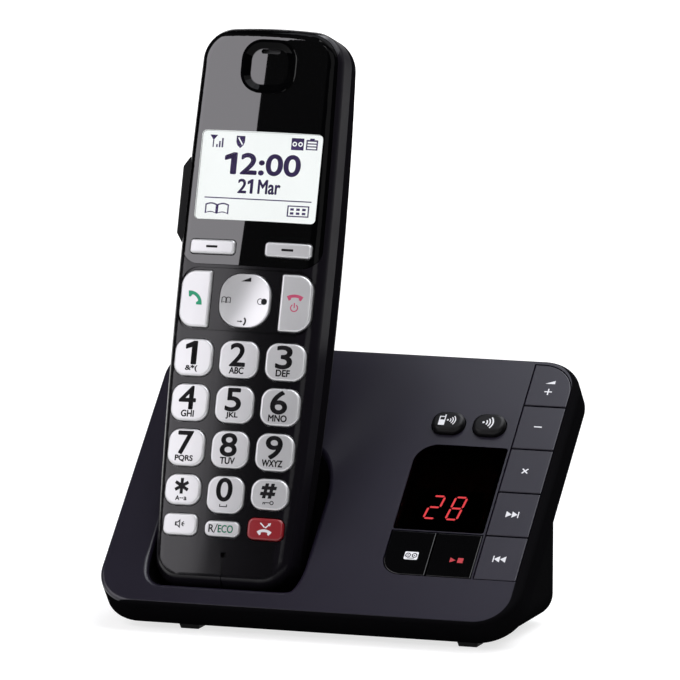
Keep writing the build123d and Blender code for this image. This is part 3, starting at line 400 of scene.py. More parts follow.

# Glowing displays, both on a dark base: a pale screen panel whose glow is painted light, standing in for the lamp
# light that reaches it through the lens, with a faint dot raster; and red segments that light up
displays = {
    # the screen panel's pale glow is painted light in place of lamp light coming through the lens
    "screenPanelPaintedGlow": {"dark": (0.86, 0.885, 0.875), "light": (0.90, 0.925, 0.915), "glow": 1.0, "dots": 2600.0},
    "digitRed": {"dark": (0.86, 0.26, 0.28), "light": (1.0, 0.33, 0.36), "glow": 7.0, "dots": 1500.0},
}
displayBase = {"tone": (0.02, 0.02, 0.02), "rough": (0.35, 0.45)}


def buildDisplay(name, spec):
    material, tree, shader = newMaterial(name)
    grain = groupNode(tree, "grain", Scale=spec["dots"])
    colour = mixColour(tree, grain["Tone"], spec["dark"], spec["light"])
    feed(tree, shader.inputs["Base Color"], displayBase["tone"])
    tree.links.new(colour, shader.inputs["Emission Color"])
    shader.inputs["Emission Strength"].default_value = spec["glow"]
    roughen(tree, shader, displayBase["rough"])
    return material


finish.update({name: buildDisplay(name, spec) for name, spec in displays.items()})

# Green board with copper tracks under the resist: the edges of Voronoi cells
boardLook = {"resist": (0.012, 0.085, 0.035), "track": (0.03, 0.17, 0.06), "cell": 420.0, "line": 0.06}


def buildBoard():
    material, tree, shader = buildFinish("boardGreen", finishes["canBlack"])
    cells = tree.nodes.new("ShaderNodeTexVoronoi")
    cells.feature = "DISTANCE_TO_EDGE"
    cells.inputs["Scale"].default_value = boardLook["cell"]
    tree.links.new(objectCoords(tree), cells.inputs["Vector"])
    line = mathNode(tree, "LESS_THAN", cells.outputs["Distance"], boardLook["line"])
    colour = mixColour(tree, line, boardLook["resist"], boardLook["track"])
    tree.links.new(colour, shader.inputs["Base Color"])
    return material


finish["boardGreen"] = buildBoard()

# Cell sleeves: plain green shrink film with bare metal at both ends, placed along the handset's length
sleeveLook = {"sleeve": (0.02, 0.12, 0.07), "metal": (0.62, 0.62, 0.63), "middle": 100.0, "half": 21.6}


def buildSleeve():
    material, tree, shader = buildFinish("cellSleeve", finishes["canBlack"])
    fromMiddle = mathNode(tree, "SUBTRACT", placeAlong(tree, "handset", 1), sleeveLook["middle"] * mm)
    bare = mathNode(tree, "GREATER_THAN", mathNode(tree, "ABSOLUTE", fromMiddle), sleeveLook["half"] * mm)
    colour = mixColour(tree, bare, sleeveLook["sleeve"], sleeveLook["metal"])
    tree.links.new(colour, shader.inputs["Base Color"])
    tree.links.new(bare, shader.inputs["Metallic"])
    return material


finish["cellSleeve"] = buildSleeve()
print("finishes:", len(finish))

# Which finish each CAD node wears: by its own name, or else by the record's material slot
slotFinish = {
    "handset_shell": "shellFront", "rocker": "rockerSatin", "fascia": "fasciaFront", "lens": "lensClear",
    "display": "screenPanelPaintedGlow", "handset_key": "keySilver", "block_key": "keyRed", "base_cover": "coverSatin",
    "base_housing": "housingRear", "base_key": "plateSatin", "pill_key": "pillBlack",
    "counter_key": "counterGloss", "counter_window": "windowSmoked", "digits": "counterGloss",
    "circuit_board": "boardGreen", "key_mat": "matRubber", "foot_rubber": "footRubber", "speaker": "canBlack",
    "screw_steel": "screwZinc", "cell_sleeve": "cellSleeve", "contact_metal": "contactGold",
    "socket": "socketBlack",
}
nodeFinish = {"handset_rear_shell": "shellRear", "battery_cover": "shellRear"}
for nodeName, slotName in slotOf.items():
    worn = nodes[nodeName].data.materials
    worn.clear()
    worn.append(finish[nodeFinish.get(nodeName, slotFinish[slotName])])
print("CAD nodes dressed:", len(slotOf))


# Flat outlines in millimetres; each function gives one closed loop of points
def poly(*points):
    return np.array(points, float)


def boxLoop(left, bottom, right, top):
    return poly((left, bottom), (right, bottom), (right, top), (left, top))


# a box repeated in columns and rows
def boxGrid(box, columns, rows, step):
    return [boxLoop(*box) + (c * step[0], r * step[1]) for c in range(columns) for r in range(rows)]


# unit steps at angles: the cosine and the sine of each turn
def heading(turn):
    return np.column_stack([np.cos(turn), np.sin(turn)])


# circle: centre plus the radius times the heading of each turn
def discLoop(x, y, radius, count=32):
    return heading(np.linspace(0, 2 * np.pi, count, endpoint=False)) * radius + (x, y)


# rounded rectangle: a quarter circle walked round each corner in turn
def roundBoxLoop(x, y, wide, high, radius, count=7):
    quarter = np.linspace(0, np.pi / 2, count)
    turn = (np.arange(4)[:, None] * np.pi / 2 + quarter).ravel()
    corners = np.repeat([(1, 1), (-1, 1), (-1, -1), (1, -1)], count, axis=0)
    return corners * (wide / 2 - radius, high / 2 - radius) + heading(turn) * radius + (x, y)


# arc band: an outer arc out and an inner arc back, half a width each side of the radius
def arcLoop(x, y, radius, width, start, end, count=18):
    turn = np.radians(np.linspace(start, end, count))
    reach = np.repeat([radius + width / 2, radius - width / 2], count)
    return heading(np.concatenate([turn, turn[::-1]])) * reach[:, None] + (x, y)


# a stroke's two ends, the unit step along it and the unit step to its left
def strokeAxes(start, end):
    start, end = np.asarray(start, float), np.asarray(end, float)
    along = (end - start) / np.linalg.norm(end - start)
    return start, end, along, np.array([-along[1], along[0]])


# straight stroke: the two ends moved half a width to each side
def barLoop(start, end, width):
    start, end, _, left = strokeAxes(start, end)
    side = left * width / 2
    return np.array([start - side, end - side, end + side, start + side])


# arrow: a stroke with a triangular head, one outline
def arrowLoop(start, end, width, head, flare=0.6):
    start, end, along, left = strokeAxes(start, end)
    neck, side, barb = end - along * head, left * width / 2, left * head * flare
    return np.array([start - side, neck - side, neck - barb, end, neck + barb, neck + side, start + side])


# telephone receiver: an arc whose inner edge steps inwards near both ends, turned about its centre
receiverStep = {"from": 0.52, "over": 0.16}


def receiverLoop(x, y, radius, span, thin, thick, turned, count=40):
    share = np.linspace(-1, 1, count)
    ease = np.clip((np.abs(share) - receiverStep["from"]) / receiverStep["over"], 0, 1)
    depth = thin + (thick - thin) * ease * ease * (3 - 2 * ease)
    outward = heading(np.radians(90 + turned - share * span / 2))
    return np.concatenate([outward * radius, (outward * (radius - depth)[:, None])[::-1]]) + (x, y)


# six-armed star: strokes through the middle, every sixty degrees, cut to one outline of tips and notches
def starLoop(x, y, reach, width):
    turn = np.radians(90 + np.arange(6) * 60)
    along = heading(turn)
    side = np.column_stack([-np.sin(turn), np.cos(turn)]) * width / 2
    inner = heading(turn + np.radians(30)) * width
    tips = np.stack([along * reach - side, along * reach + side, inner], axis=1)
    return tips.reshape(-1, 2) + (x, y)


# hash sign: one outline walked round two upright and two level strokes, with the square left open
def hashLoops(x, y, wide, high, gap, width, slant):
    t, h, g, w = wide / 2, high / 2, gap / 2, width / 2
    outline = poly(
        (-g - w, h), (-g + w, h), (-g + w, g + w), (g - w, g + w), (g - w, h), (g + w, h), (g + w, g + w),
        (t, g + w), (t, g - w), (g + w, g - w), (g + w, -g + w), (t, -g + w), (t, -g - w), (g + w, -g - w),
        (g + w, -h), (g - w, -h), (g - w, -g - w), (-g + w, -g - w), (-g + w, -h), (-g - w, -h),
        (-g - w, -g - w), (-t, -g - w), (-t, -g + w), (-g - w, -g + w), (-g - w, g - w), (-t, g - w),
        (-t, g + w), (-g - w, g + w),
    )
    hole = boxLoop(-g + w, -g + w, g - w, g - w)
    return [np.column_stack([loop[:, 0] + slant * loop[:, 1] + x, loop[:, 1] + y]) for loop in (outline, hole)]


# cross: one outline walked round two strokes, turned about its middle
def crossLoop(x, y, reach, width, turned):
    w = width / 2
    outline = poly((-w, reach), (-w, w), (-reach, w), (-reach, -w), (-w, -w), (-w, -reach), (w, -reach), (w, -w),
                   (reach, -w), (reach, w), (w, w), (w, reach))
    cosine, sine = math.cos(math.radians(turned)), math.sin(math.radians(turned))
    return outline @ np.array([(cosine, sine), (-sine, cosine)]) + (x, y)


# one segment of a lit figure: a bar with pointed ends between two corners
def segmentLoop(start, end, stroke, gap):
    start, end, along, left = strokeAxes(start, end)
    start, end = start + along * gap, end - along * gap
    side, tip = left * stroke / 2, along * stroke / 2
    return np.array([start, start + tip - side, end - tip - side, end, end - tip + side, start + tip + side])


# Print laid on a surface: its top a little above it and its underside sunk below it
printing = {"lift": 0.025, "hollowLift": 0.07, "sink": 0.05, "decimals": 5, "leastArea": 1e-9}


# a filled flat curve or text becomes triangles: shared points merged, every triangle turned to face up
def flatTriangles(curve):
    holder = bpy.data.objects.new("flatInk", curve)
    scene.collection.objects.link(holder)
    mesh = bpy.data.meshes.new_from_object(holder)
    mesh.calc_loop_triangles()
    points = np.round(meshPoints(mesh)[:, :2], printing["decimals"])
    triangles = np.empty(len(mesh.loop_triangles) * 3, np.int32)
    mesh.loop_triangles.foreach_get("vertices", triangles)
    bpy.data.objects.remove(holder)
    bpy.data.curves.remove(curve)
    bpy.data.meshes.remove(mesh)
    flat, back = np.unique(points, axis=0, return_inverse=True)
    triangles = back.reshape(-1)[triangles.reshape(-1, 3)]
    a, b, c = (flat[triangles[:, k]] for k in range(3))
    area = (b[:, 0] - a[:, 0]) * (c[:, 1] - a[:, 1]) - (b[:, 1] - a[:, 1]) * (c[:, 0] - a[:, 0])
    triangles[area < 0] = triangles[area < 0][:, ::-1]
    return flat, triangles[np.abs(area) > printing["leastArea"]]


# one mark from closed loops; a loop inside another is a hole
def shape(*loops):
    curve = bpy.data.curves.new("flatInk", "CURVE")
    curve.dimensions = "2D"
    curve.fill_mode = "BOTH"
    for loop in loops:
        spline = curve.splines.new("POLY")
        spline.points.add(len(loop) - 1)
        filled = np.column_stack([loop, np.zeros(len(loop)), np.ones(len(loop))])
        spline.points.foreach_set("co", filled.ravel())
        spline.use_cyclic_u = True
    return flatTriangles(curve)


def joinMarks(marks):
    starts = np.cumsum([0] + [len(points) for points, _ in marks])
    joined = np.concatenate([points for points, _ in marks])
    return joined, np.concatenate([triangles + start for (_, triangles), start in zip(marks, starts)])


# bolder strokes: copies of a mark moved the same way in eight directions
def embolden(mark, amount):
    moves = heading(np.arange(8) * np.pi / 4) * amount
    return joinMarks([(mark[0] + move, mark[1]) for move in moves])


# a mark scaled to a height, and to a width where one is given, about its own middle
def fitMark(mark, high, at, wide):
    flat, triangles = mark
    low, top = flat.min(0), flat.max(0)
    scale = np.full(2, high / (top[1] - low[1]))
    if wide:
        scale[0] = wide / (top[0] - low[0])
    return (flat - (low + top) / 2) * scale + at, triangles


# letters and figures; the figure one is an upright stem with a sloping flag
figureOne = poly((0.30, 0), (0.50, 0), (0.50, 1), (0.36, 1), (0.02, 0.84), (0.02, 0.68), (0.30, 0.78))


def letters(text, high, at, bold, wide=None):
    if text == "1":
        mark = shape(figureOne)
    else:
        curve = bpy.data.curves.new("flatInk", "FONT")
        curve.body = text
        curve.fill_mode = "BOTH"
        mark = flatTriangles(curve)
    return embolden(fitMark(mark, high, at, wide), bold)


# loudspeaker sign: magnet and cone as one outline round a smaller one, with short rays
speakerSign = {"cone": ((-1.0, -0.42), (-0.45, -0.42), (0.12, -0.95), (0.12, 0.95), (-0.45, 0.42), (-1.0, 0.42)),
               "hole": 0.5, "holeAt": (-0.15, 0), "tilts": (-40, 0, 40), "raysAt": (0.36, 0),
               "reach": (0.12, 0.72), "rayWide": 0.2}


def speakerMarks(x, y, size):
    cone = poly(*speakerSign["cone"])
    hole = cone * speakerSign["hole"] + speakerSign["holeAt"]
    marks = [shape(cone * size + (x, y), hole * size + (x, y))]
    for ray in heading(np.radians(speakerSign["tilts"])):
        ends = [(ray * reach + speakerSign["raysAt"]) * size + (x, y) for reach in speakerSign["reach"]]
        marks.append(shape(barLoop(*ends, speakerSign["rayWide"] * size)))
    return marks


# open book: two leaves whose edges arch as half a sine, with a dip at the spine, and a hole in each leaf
def bookMark(x, y, wide, high, line, archShare=0.14):
    share = np.linspace(0, 1, 9)
    half, rise = wide / 2, high * archShare
    arch = np.sin(np.pi * share) * rise
    tops, lows, holes = [], [], []
    for left in (-half, 0):
        tops.append(np.column_stack([left + share * half, high / 2 - rise + arch]))
        lows.append(np.column_stack([left + share * half, -high / 2 + arch]))
        middle = np.array([left + half / 2, 0])
        leaf = np.concatenate([tops[-1], lows[-1][::-1]])
        holes.append((leaf - middle) * (1 - 2 * line / half, 1 - 2 * line / high) + middle)
    outline = np.concatenate([*tops, lows[1][::-1], lows[0][::-1]])
    return shape(*(loop + (x, y) for loop in [outline] + holes))


# sound waves: arcs of growing radius about a source, opening to the right
def waveMarks(x, y, first, step, count, width, opening):
    return [shape(arcLoop(x, y, first + step * k, width, -opening, opening)) for k in range(count)]


# marks set into place: top, underside, and a wall along every edge that only one triangle uses
def printOn(name, marks, middle, heightAt, face, body, ink, slotName, lift=printing["lift"]):
    flat, triangles = joinMarks(marks)
    flat = flat + middle[:2]
    level = heightAt(flat[:, 0], flat[:, 1])
    top = np.column_stack([flat, level + lift])
    under = np.column_stack([flat, level - printing["sink"]])
    edges = np.concatenate([triangles[:, [0, 1]], triangles[:, [1, 2]], triangles[:, [2, 0]]])
    _, first, uses = np.unique(np.sort(edges, axis=1), axis=0, return_index=True, return_counts=True)
    rim = edges[first[uses == 1]]
    count = len(flat)
    walls = np.concatenate([
        np.column_stack([rim[:, 1], rim[:, 0], rim[:, 0] + count]),
        np.column_stack([rim[:, 1], rim[:, 0] + count, rim[:, 1] + count]),
    ])
    solid = np.concatenate([triangles, triangles[:, ::-1] + count, walls])
    putMesh(name, toWorld(np.concatenate([top, under]), face), solid, finish[ink], body)


# marks set about a key's own middle, riding with the key
def printKey(name, key, marks, heightAt, ink, face="handset", **more):
    printOn(name, marks, nodeMiddle(key, face), heightAt, face, key, ink, slotOf[key], **more)


# crowned key top: a circle of the crown radius plus the rise, its highest line at the rise
keyTop = {"rise": 0.9, "dishRadius": 40.0, "dishDepth": 1.0}


def crownHeight(x, y):
    radius = faces["handset"]["crown"] + keyTop["rise"]
    return keyTop["rise"] + np.sqrt(radius ** 2 - x ** 2) - radius


navUp = nodeMiddle("key_nav", "handset")[1]


# navigation pad: the lower of the crown and a ball shaped hollow about the pad's middle
def dishHeight(x, y):
    ball = keyTop["dishRadius"]
    away = x ** 2 + (y - navUp) ** 2
    hollow = keyTop["rise"] - keyTop["dishDepth"] + ball - np.sqrt(ball ** 2 - away)
    return np.minimum(crownHeight(x, y), hollow)


def flatHeight(level):
    return lambda x, y: np.full_like(x, level)


# Number keys: figure with its width and its place across, and the letters or signs below it with their width
numberMarks = {
    "figureHigh": 6.7, "figureUp": 1.35, "figureBold": 0.2,
    "lettersHigh": 1.9, "lettersAt": (-0.32, -3.35), "lettersBold": 0.08,
    "legends": {
        "one": ("1", 3.4, -0.75, "&*(", 3.8), "two": ("2", 4.6, -0.3, "ABC", 4.4),
        "three": ("3", 4.7, -0.35, "DEF", 4.1), "four": ("4", 5.1, -0.75, "GHI", 4.0),
        "five": ("5", 4.6, -0.3, "JKL", 3.6), "six": ("6", 4.8, -0.3, "MNO", 5.5),
        "seven": ("7", 4.65, -0.3, "PQRS", 5.6), "eight": ("8", 4.9, -0.35, "TUV", 4.5),
        "nine": ("9", 4.8, -0.2, "WXYZ", 6.1),
    },
}


def numberKeyMarks(figure, figureWide, figureLeft, below, belowWide):
    look = numberMarks
    return [
        letters(figure, look["figureHigh"], (figureLeft, look["figureUp"]), look["figureBold"], figureWide),
        letters(below, look["lettersHigh"], look["lettersAt"], look["lettersBold"], belowWide),
    ]


for keyName, legend in numberMarks["legends"].items():
    printKey("legend_" + keyName, "key_" + keyName, numberKeyMarks(*legend), crownHeight, "inkBlack")

# Signs on the other handset keys, in millimetres from each key's middle; black where no other ink is named
softBar = (-0.1, 0, 3.6, 0.7, 0.12)
signs = {
    "star": [
        shape(starLoop(-0.3, 1.0, 2.35, 0.98)), letters("A", 1.3, (-1.35, -2.6), 0.06),
        shape(arrowLoop((-0.2, -2.6), (0.62, -2.6), 0.18, 0.4)),
        shape(arrowLoop((-0.2, -2.6), (-0.75, -2.6), 0.18, 0.36)), letters("a", 1.0, (1.15, -2.7), 0.06),
    ],
    "zero": [
        letters("0", 6.7, (-0.3, 1.45), 0.2, 4.7),
        shape(poly((-1.2, -2.9), (-0.92, -2.9), (-0.92, -3.42), (0.92, -3.42), (0.92, -2.9), (1.2, -2.9),
                   (1.2, -3.7), (-1.2, -3.7)) + (-0.2, 0)),
    ],
    "hash": [
        shape(*hashLoops(-0.3, 1.0, 4.5, 4.5, 1.75, 1.05, 0.18)),
        shape(discLoop(1.0, -2.5, 0.62), discLoop(1.0, -2.5, 0.36)), shape(boxLoop(-1.7, -2.62, 0.37, -2.38)),
        shape(boxLoop(-1.7, -3.05, -1.45, -2.62)), shape(boxLoop(-1.2, -3.0, -0.95, -2.62)),
    ],
    "speaker": speakerMarks(-0.1, 0.1, 1.45),
    "soft_left": [shape(roundBoxLoop(*softBar))],
    "soft_right": [shape(roundBoxLoop(*softBar))],
    "talk": [shape(receiverLoop(-1.65, -1.75, 4.0, 100, 1.0, 1.8, -42))],
    "off": [
        shape(receiverLoop(-0.2, -2.55, 5.2, 58, 0.9, 1.45, 0)),
        shape(arcLoop(-0.2, -1.35, 1.05, 0.34, 122, 418)), shape(boxLoop(-0.37, -1.35, -0.03, 0.15)),
    ],
    "block": [
        shape(receiverLoop(-0.1, -3.65, 3.6, 78, 0.8, 1.35, 0)),
        shape(arrowLoop((0.1, 0.35), (1.75, 1.9), 0.38, 0.9)), shape(barLoop((-1.5, 1.8), (-0.1, 0.5), 0.38)),
    ],
    "recall": [letters("R", 2.2, (-3.2, 0.0), 0.05, 1.6), shape(barLoop((-2.3, -1.35), (-1.4, 1.35), 0.26))],
}
signInk = {"talk": "inkGreen", "off": "inkPink", "block": "inkWhite"}
lowPower = letters("ECO", 2.2, (1.2, 0.0), 0.05, 4.6)
navMarks = [
    shape(poly((-1.7, 5.75), (1.4, 5.75), (1.4, 7.0))), bookMark(-5.8, 0.0, 2.7, 1.9, 0.2),
    shape(discLoop(4.75, 0, 0.95), discLoop(4.75, 0, 0.75)), shape(discLoop(6.0, 0, 0.95)),
    shape(arrowLoop((-1.75, -6.2), (-0.1, -6.2), 0.24, 0.6)), shape(arcLoop(-0.75, -6.2, 1.55, 0.5, -46, 46)),
]
for keyName, marks in signs.items():
    printKey("legend_" + keyName, "key_" + keyName, marks, crownHeight, signInk.get(keyName, "inkBlack"))
printKey("legend_recall_low_power", "key_recall", [lowPower], crownHeight, "inkGreen")
printKey("legend_nav", "key_nav", navMarks, dishHeight, "inkBlack", lift=printing["hollowLift"])
print("handset legends printed")

# Screen graphics on the display glass under the lens, in millimetres on the handset's front: a line of figures
# has its height, its place up, its boldness, and each figure or word with its place across and its width
screenLook = {
    "level": -1.65,
    "lines": (
        (6.1, 126.7, 0.26, (("1", -9.3, 3.4), ("2:00", 3.2, 18.3))),
        (4.1, 120.0, 0.14, (("2", -5.0, 2.5), ("1", -2.5, 1.5), ("Mar", 3.4, 6.8))),
    ),
    "rule": (-16.4, 116.0, 17.0, 116.34),
    "aerial": ((-16.5, 135.0), (-14.1, 135.0), (-15.15, 133.6), (-15.15, 131.3), (-15.5, 131.3), (-15.5, 133.6)),
    "bars": ((-14.4, 131.3, -13.9, 132.2), (-13.55, 131.3, -13.05, 133.15), (-12.7, 131.3, -12.2, 134.1)),
    "shield": ((-8.2, 135.0), (-5.5, 135.0), (-5.5, 133.2), (-5.9, 132.2), (-6.85, 131.3), (-7.8, 132.2),
               (-8.2, 133.2)),
    "slash": ((-7.6, 134.5), (-6.2, 132.4), 0.42),
    "tape": {"box": (9.0, 131.5, 12.9, 135.1), "reels": ((10.05, 133.3), (11.85, 133.3)), "hole": 0.72,
             "hub": 0.36},
    "store": ((13.6, 131.7), (17.2, 131.7), (17.2, 134.75), (16.1, 134.75), (16.1, 135.2), (14.7, 135.2),
              (14.7, 134.75), (13.6, 134.75)),
    "storeRows": ((14.0, 132.05, 16.8, 132.55), 1, 3, (0, 0.86)),
    "book": (-12.2, 113.0, 7.4, 3.4, 0.42),
    "frame": ((9.7, 111.5, 16.5, 114.9), (10.1, 111.85, 16.1, 114.55)),
    "frameDots": ((10.65, 112.2, 11.75, 112.9), 3, 2, (1.85, 1.2)),
}


def screenMarks(look):
    tape = look["tape"]
    return [
        *(letters(text, high, (across, up), bold, wide)
          for high, up, bold, words in look["lines"] for text, across, wide in words),
        shape(boxLoop(*look["rule"])),
        shape(poly(*look["aerial"])),
        *(shape(boxLoop(*bar)) for bar in look["bars"]),
        shape(poly(*look["shield"]), barLoop(*look["slash"])),
        shape(boxLoop(*tape["box"]), *(discLoop(*reel, tape["hole"]) for reel in tape["reels"])),
        *(shape(discLoop(*reel, tape["hub"])) for reel in tape["reels"]),
        shape(poly(*look["store"]), *boxGrid(*look["storeRows"])),
        bookMark(*look["book"]),
        shape(*(boxLoop(*box) for box in look["frame"])),
        *(shape(dot) for dot in boxGrid(*look["frameDots"])),
    ]


printOn("screen_graphics", screenMarks(screenLook), (0, 0), flatHeight(screenLook["level"]), "handset", "handset",
        "screenInk", "display")

# Two red seven-segment figures, slanted, on the digit display under the smoked window; a segment runs between
# two corners, counted in widths across and in halves of the height
digitLook = {
    "wide": 3.4, "high": 8.4, "stroke": 0.62, "gap": 0.24, "slant": 0.17, "level": -1.8,
    "places": (28.1, 34.9), "bottom": 39.2, "lit": ("abged", "abcdefg"),
    "segments": {"a": ((0, 2), (1, 2)), "b": ((1, 1), (1, 2)), "c": ((1, 0), (1, 1)), "d": ((0, 0), (1, 0)),
                 "e": ((0, 0), (0, 1)), "f": ((0, 1), (0, 2)), "g": ((0, 1), (1, 1))},
}


def digitMarks(look):
    marks = []
    for place, lit in zip(look["places"], look["lit"]):
        for segment in lit:
            ends = poly(*look["segments"][segment]) * (look["wide"], look["high"] / 2)
            loop = segmentLoop(*ends, look["stroke"], look["gap"])
            loop[:, 0] += place + loop[:, 1] * look["slant"]
            loop[:, 1] += look["bottom"]
            marks.append(shape(loop))
    return marks


printOn("counter_figures", digitMarks(digitLook), (0, 0), flatHeight(digitLook["level"]), "plate", "base",
        "digitRed", "digits")

# Signs on the base keys, in millimetres from each key's middle; white and level with the plate unless named
playHead = poly((-0.85, -1.15), (0.9, 0.0), (-0.85, 1.15))
backHead = (playHead * (-1, 1))[::-1]
baseSigns = {
    "volume_up": [shape(poly((-1.5, 0.75), (1.4, 0.75), (1.4, 2.0))), shape(crossLoop(0, -2.3, 1.15, 0.4, 0))],
    "volume_down": [shape(boxLoop(-1.2, 0.2, 1.2, 0.58))],
    "erase": [shape(crossLoop(0, 0, 1.2, 0.4, 45))],
    "skip_forward": [
        shape(playHead + (-1.1, 0)), shape(playHead + (0.75, 0)), shape(boxLoop(1.65, -1.15, 1.98, 1.15)),
    ],
    "skip_back": [
        shape(backHead + (1.1, -0.3)), shape(backHead + (-0.75, -0.3)), shape(boxLoop(-1.98, -1.45, -1.65, 0.85)),
    ],
    "answer_on": [
        shape(roundBoxLoop(1.2, -1.0, 4.2, 2.9, 0.4), discLoop(0.2, -0.85, 0.85), discLoop(2.2, -0.85, 0.85),
              boxLoop(0.2, -2.05, 2.2, -1.8)),
        *(shape(discLoop(x, -0.85, 0.55), discLoop(x, -0.85, 0.24)) for x in (0.2, 2.2)),
    ],
    "play_stop": [shape(playHead * (0.95, 0.8) + (0.0, -1.7)), shape(boxLoop(1.5, -2.6, 3.2, -0.8))],
    "locator": [
        shape(poly((-2.6, -1.9), (-0.7, -1.9), (-0.7, 2.1), (-1.05, 2.1), (-1.05, 1.5), (-2.6, 1.5)),
              boxLoop(-2.3, 0.1, -1.0, 1.15)),
        shape(discLoop(0.1, 0.1, 0.3)), *waveMarks(0.1, 0.1, 0.9, 0.72, 3, 0.3, 42),
    ],
    "intercom": [shape(discLoop(-1.5, 0, 0.36)), *waveMarks(-1.5, 0, 1.15, 0.9, 3, 0.42, 42)],
}
baseSignInk = {"play_stop": "inkRed"}
baseSignRise = {"locator": 2.0, "intercom": 2.0}
for keyName, marks in baseSigns.items():
    printKey("sign_" + keyName, "key_" + keyName, marks, flatHeight(baseSignRise.get(keyName, 0.0)),
             baseSignInk.get(keyName, "inkWhite"), face="plate")
print("screen, counter and base signs printed")

# Gold wires in the line socket and the pin in the power socket; depths are counted from the rear wall's outside
sockets = {
    "wires": {"xs": (10.43, 11.45, 12.47, 13.49), "radius": 0.25,
              "path": ((-11.0, 22.7), (-9.6, 22.6), (-8.4, 22.0), (-4.6, 18.6), (-4.1, 18.5))},
    "pin": {"xs": (29.9,), "radius": 0.62, "path": ((-11.0, 20.0), (-4.2, 20.0), (-3.8, 20.0))},
}


# round bar: at each point of an upright path a circle, its radius times the cosine of the turn sideways and
# times the sine along the path's own normal; it tapers at the last point, and a point at each end closes it
def roundBar(x, path, radius, count=16, taper=0.6):
    path = np.asarray(path, float)
    along = np.gradient(path, axis=0)
    along = along / np.linalg.norm(along, axis=1, keepdims=True)
    turn = np.linspace(0, 2 * np.pi, count, endpoint=False)
    radii = np.full((len(path), 1), radius)
    radii[-1] = radius * taper
    sideways = x + radii * np.cos(turn)
    inward = path[:, :1] - along[:, 1:] * radii * np.sin(turn)
    upward = path[:, 1:] + along[:, :1] * radii * np.sin(turn)
    rings = np.stack([-sideways, upward, inward], axis=2).reshape(-1, 3)
    ends = np.array([(-x, path[0, 1], path[0, 0]), (-x, path[-1, 1], path[-1, 0])])
    here = np.arange(len(path) * count).reshape(-1, count)
    after = np.roll(here, -1, axis=1)
    a, b, c, d = here[:-1].ravel(), after[:-1].ravel(), after[1:].ravel(), here[1:].ravel()
    first, last = np.full(count, len(rings)), np.full(count, len(rings) + 1)
    triangles = np.concatenate([
        np.column_stack([a, b, c]), np.column_stack([a, c, d]),
        np.column_stack([after[0], here[0], first]), np.column_stack([here[-1], after[-1], last]),
    ])
    return np.concatenate([rings, ends]), triangles


for socketName, spec in sockets.items():
    points, triangles = joinMarks([roundBar(x, spec["path"], spec["radius"]) for x in spec["xs"]])
    putMesh("socket_" + socketName, toWorld(points, "rear"), triangles, finish["contactGold"], "base",
            smooth=True)
print("socket wires and pin set")

# Floor, lamps and world
studio = {
    "floor": {"size": 6.0, "level": -0.00005, "paper": 0.72, "clearing": (0.5, 1.0),
              "finish": {"tones": ((0.44, 0.44, 0.44), (0.46, 0.46, 0.46)), "rough": (0.8, 0.9), "grain": 60.0,
                         "specular": 0.1}},
    "worldLevel": 0.02,
    "white": (1.0, 1.0, 1.0),
    "lamps": {
        "leftSoftbox": {"from": (-0.829, -0.671, 0.669), "to": (-0.02, 0.0, 0.11), "size": (1.1, 1.1),
                        "radiance": 2.4, "colour": (0.972, 0.945, 1.0)},
        "frontSoftbox": {"from": (0.55, -1.25, 0.95), "to": (0.0, 0.0, 0.08), "size": (0.9, 0.9), "radiance": 1.7},
        "topSoftbox": {"from": (0.85, 1.0, 1.40), "to": (0.85, 1.0, 0.0), "size": (1.7, 3.4), "radiance": 1.6},
        "plateSoftbox": {"from": (0.135, 0.13, 0.52), "to": (0.06, 0.02, 0.06), "size": (0.42, 0.5),
                         "radiance": 3.2, "colour": (0.90, 0.93, 1.0)},
        "rearSoftbox": {"from": (0.62, 1.05, 0.50), "to": (0.0, 0.0, 0.08), "size": (0.9, 0.8), "radiance": 0.9},
        "backSoftbox": {"from": (-0.5, 1.5, 0.55), "to": (0.0, 0.0, 0.08), "size": (1.0, 1.0), "radiance": 1.6},
    },
}


# pale floor: its own shade under the lamps, so that shadows fall on it, plus a paper white wherever it is
# looked at straight, mirrored or through glass; the white grows to full over the clearing's reach
def layFloor(spec):
    half = spec["size"] / 2
    points = np.column_stack([boxLoop(-half, -half, half, half), np.full(4, spec["level"])])
    mesh = bpy.data.meshes.new("floor")
    mesh.from_pydata(points.tolist(), [], [(0, 1, 2, 3)])
    floor = bpy.data.objects.new("floor", mesh)
    scene.collection.objects.link(floor)
    material, tree, shader = buildFinish("floorPale", spec["finish"])
    path = tree.nodes.new("ShaderNodeLightPath").outputs
    seen = mathNode(tree, "MAXIMUM", path["Is Camera Ray"], path["Is Glossy Ray"])
    seen = mathNode(tree, "MAXIMUM", seen, path["Is Transmission Ray"])
    away = vectorNode(tree, "LENGTH", objectCoords(tree))["Value"]
    paper = spread(tree, away, spec["paper"], 1.0, *spec["clearing"])
    tree.links.new(mathNode(tree, "MULTIPLY", seen, paper), shader.inputs["Emission Color"])
    shader.inputs["Emission Strength"].default_value = 1.0
    mesh.materials.append(material)


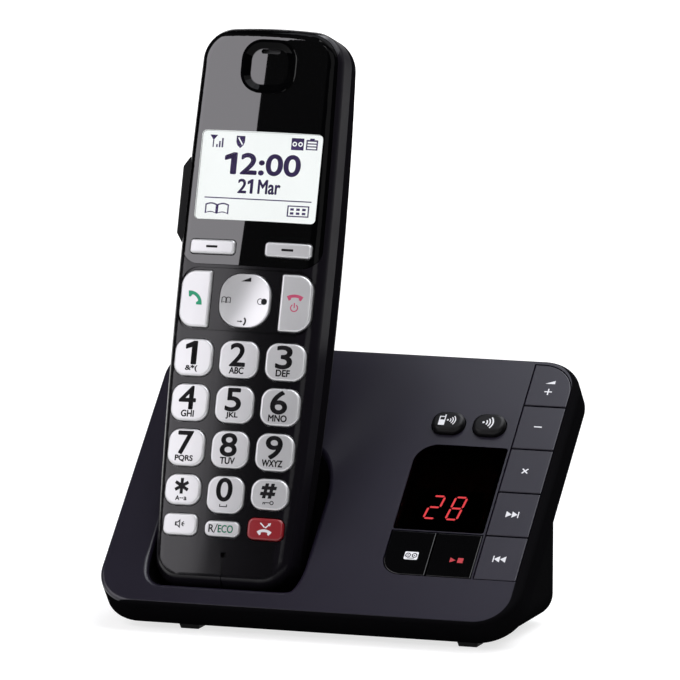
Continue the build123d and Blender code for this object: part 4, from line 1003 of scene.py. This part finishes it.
# a lamp or camera put at a place, looking along the reverse of back, with right to its own right
def putLooking(name, data, at, right, back):
    turn = np.column_stack([right, np.cross(back, right), back])
    made = bpy.data.objects.new(name, data)
    made.matrix_world = Matrix.Translation(at) @ Matrix(turn.tolist()).to_4x4()
    scene.collection.objects.link(made)
    return made


def unit(vector):
    return vector / np.linalg.norm(vector)


# lamp power for a radiance: pi times the area times the radiance
def hangLamp(name, spec, steep=0.99):
    data = bpy.data.lights.new(name, "AREA")
    data.shape = "RECTANGLE"
    data.size, data.size_y = spec["size"]
    data.energy = math.pi * data.size * data.size_y * spec["radiance"]
    data.color = spec.get("colour", studio["white"])
    back = unit(np.asarray(spec["from"]) - np.asarray(spec["to"]))
    right = unit(np.cross((0, 1, 0) if abs(back[2]) > steep else (0, 0, 1), back))
    putLooking(name, data, spec["from"], right, back)


layFloor(studio["floor"])
for lampName, lampSpec in studio["lamps"].items():
    hangLamp(lampName, lampSpec)
world = bpy.data.worlds.new("studio")
world.use_nodes = True
background = world.node_tree.nodes["Background"].inputs
background["Color"].default_value = (*studio["white"], 1.0)
background["Strength"].default_value = studio["worldLevel"]
scene.world = world

# Camera: a long way off, turned to the right and a little above, framed by a shift along its own axes
camera = {"azimuth": 18.27, "elevation": 8.95, "roll": 0.22, "distance": 2667.4, "right": -1.23, "up": 82.47,
          "focalPixels": 8987.0, "framePixels": 680.0, "sensor": 36.0}


def placeCamera(spec):
    azimuth, elevation, roll = (math.radians(spec[k]) for k in ("azimuth", "elevation", "roll"))
    level = math.cos(elevation)
    back = np.array([math.sin(azimuth) * level, -math.cos(azimuth) * level, math.sin(elevation)])
    right = np.array([math.cos(azimuth), math.sin(azimuth), 0.0])
    up = np.cross(back, right)
    eye = (back * spec["distance"] + right * spec["right"] + up * spec["up"]) * mm
    data = bpy.data.cameras.new("photoCamera")
    data.sensor_fit = "HORIZONTAL"
    data.sensor_width = spec["sensor"]
    data.lens = spec["sensor"] * spec["focalPixels"] / spec["framePixels"]
    rolledRight = right * math.cos(roll) + up * math.sin(roll)
    scene.camera = putLooking("photoCamera", data, eye.tolist(), rolledRight, back)


placeCamera(camera)
scene.view_settings.view_transform = "Standard"
print("studio ready")
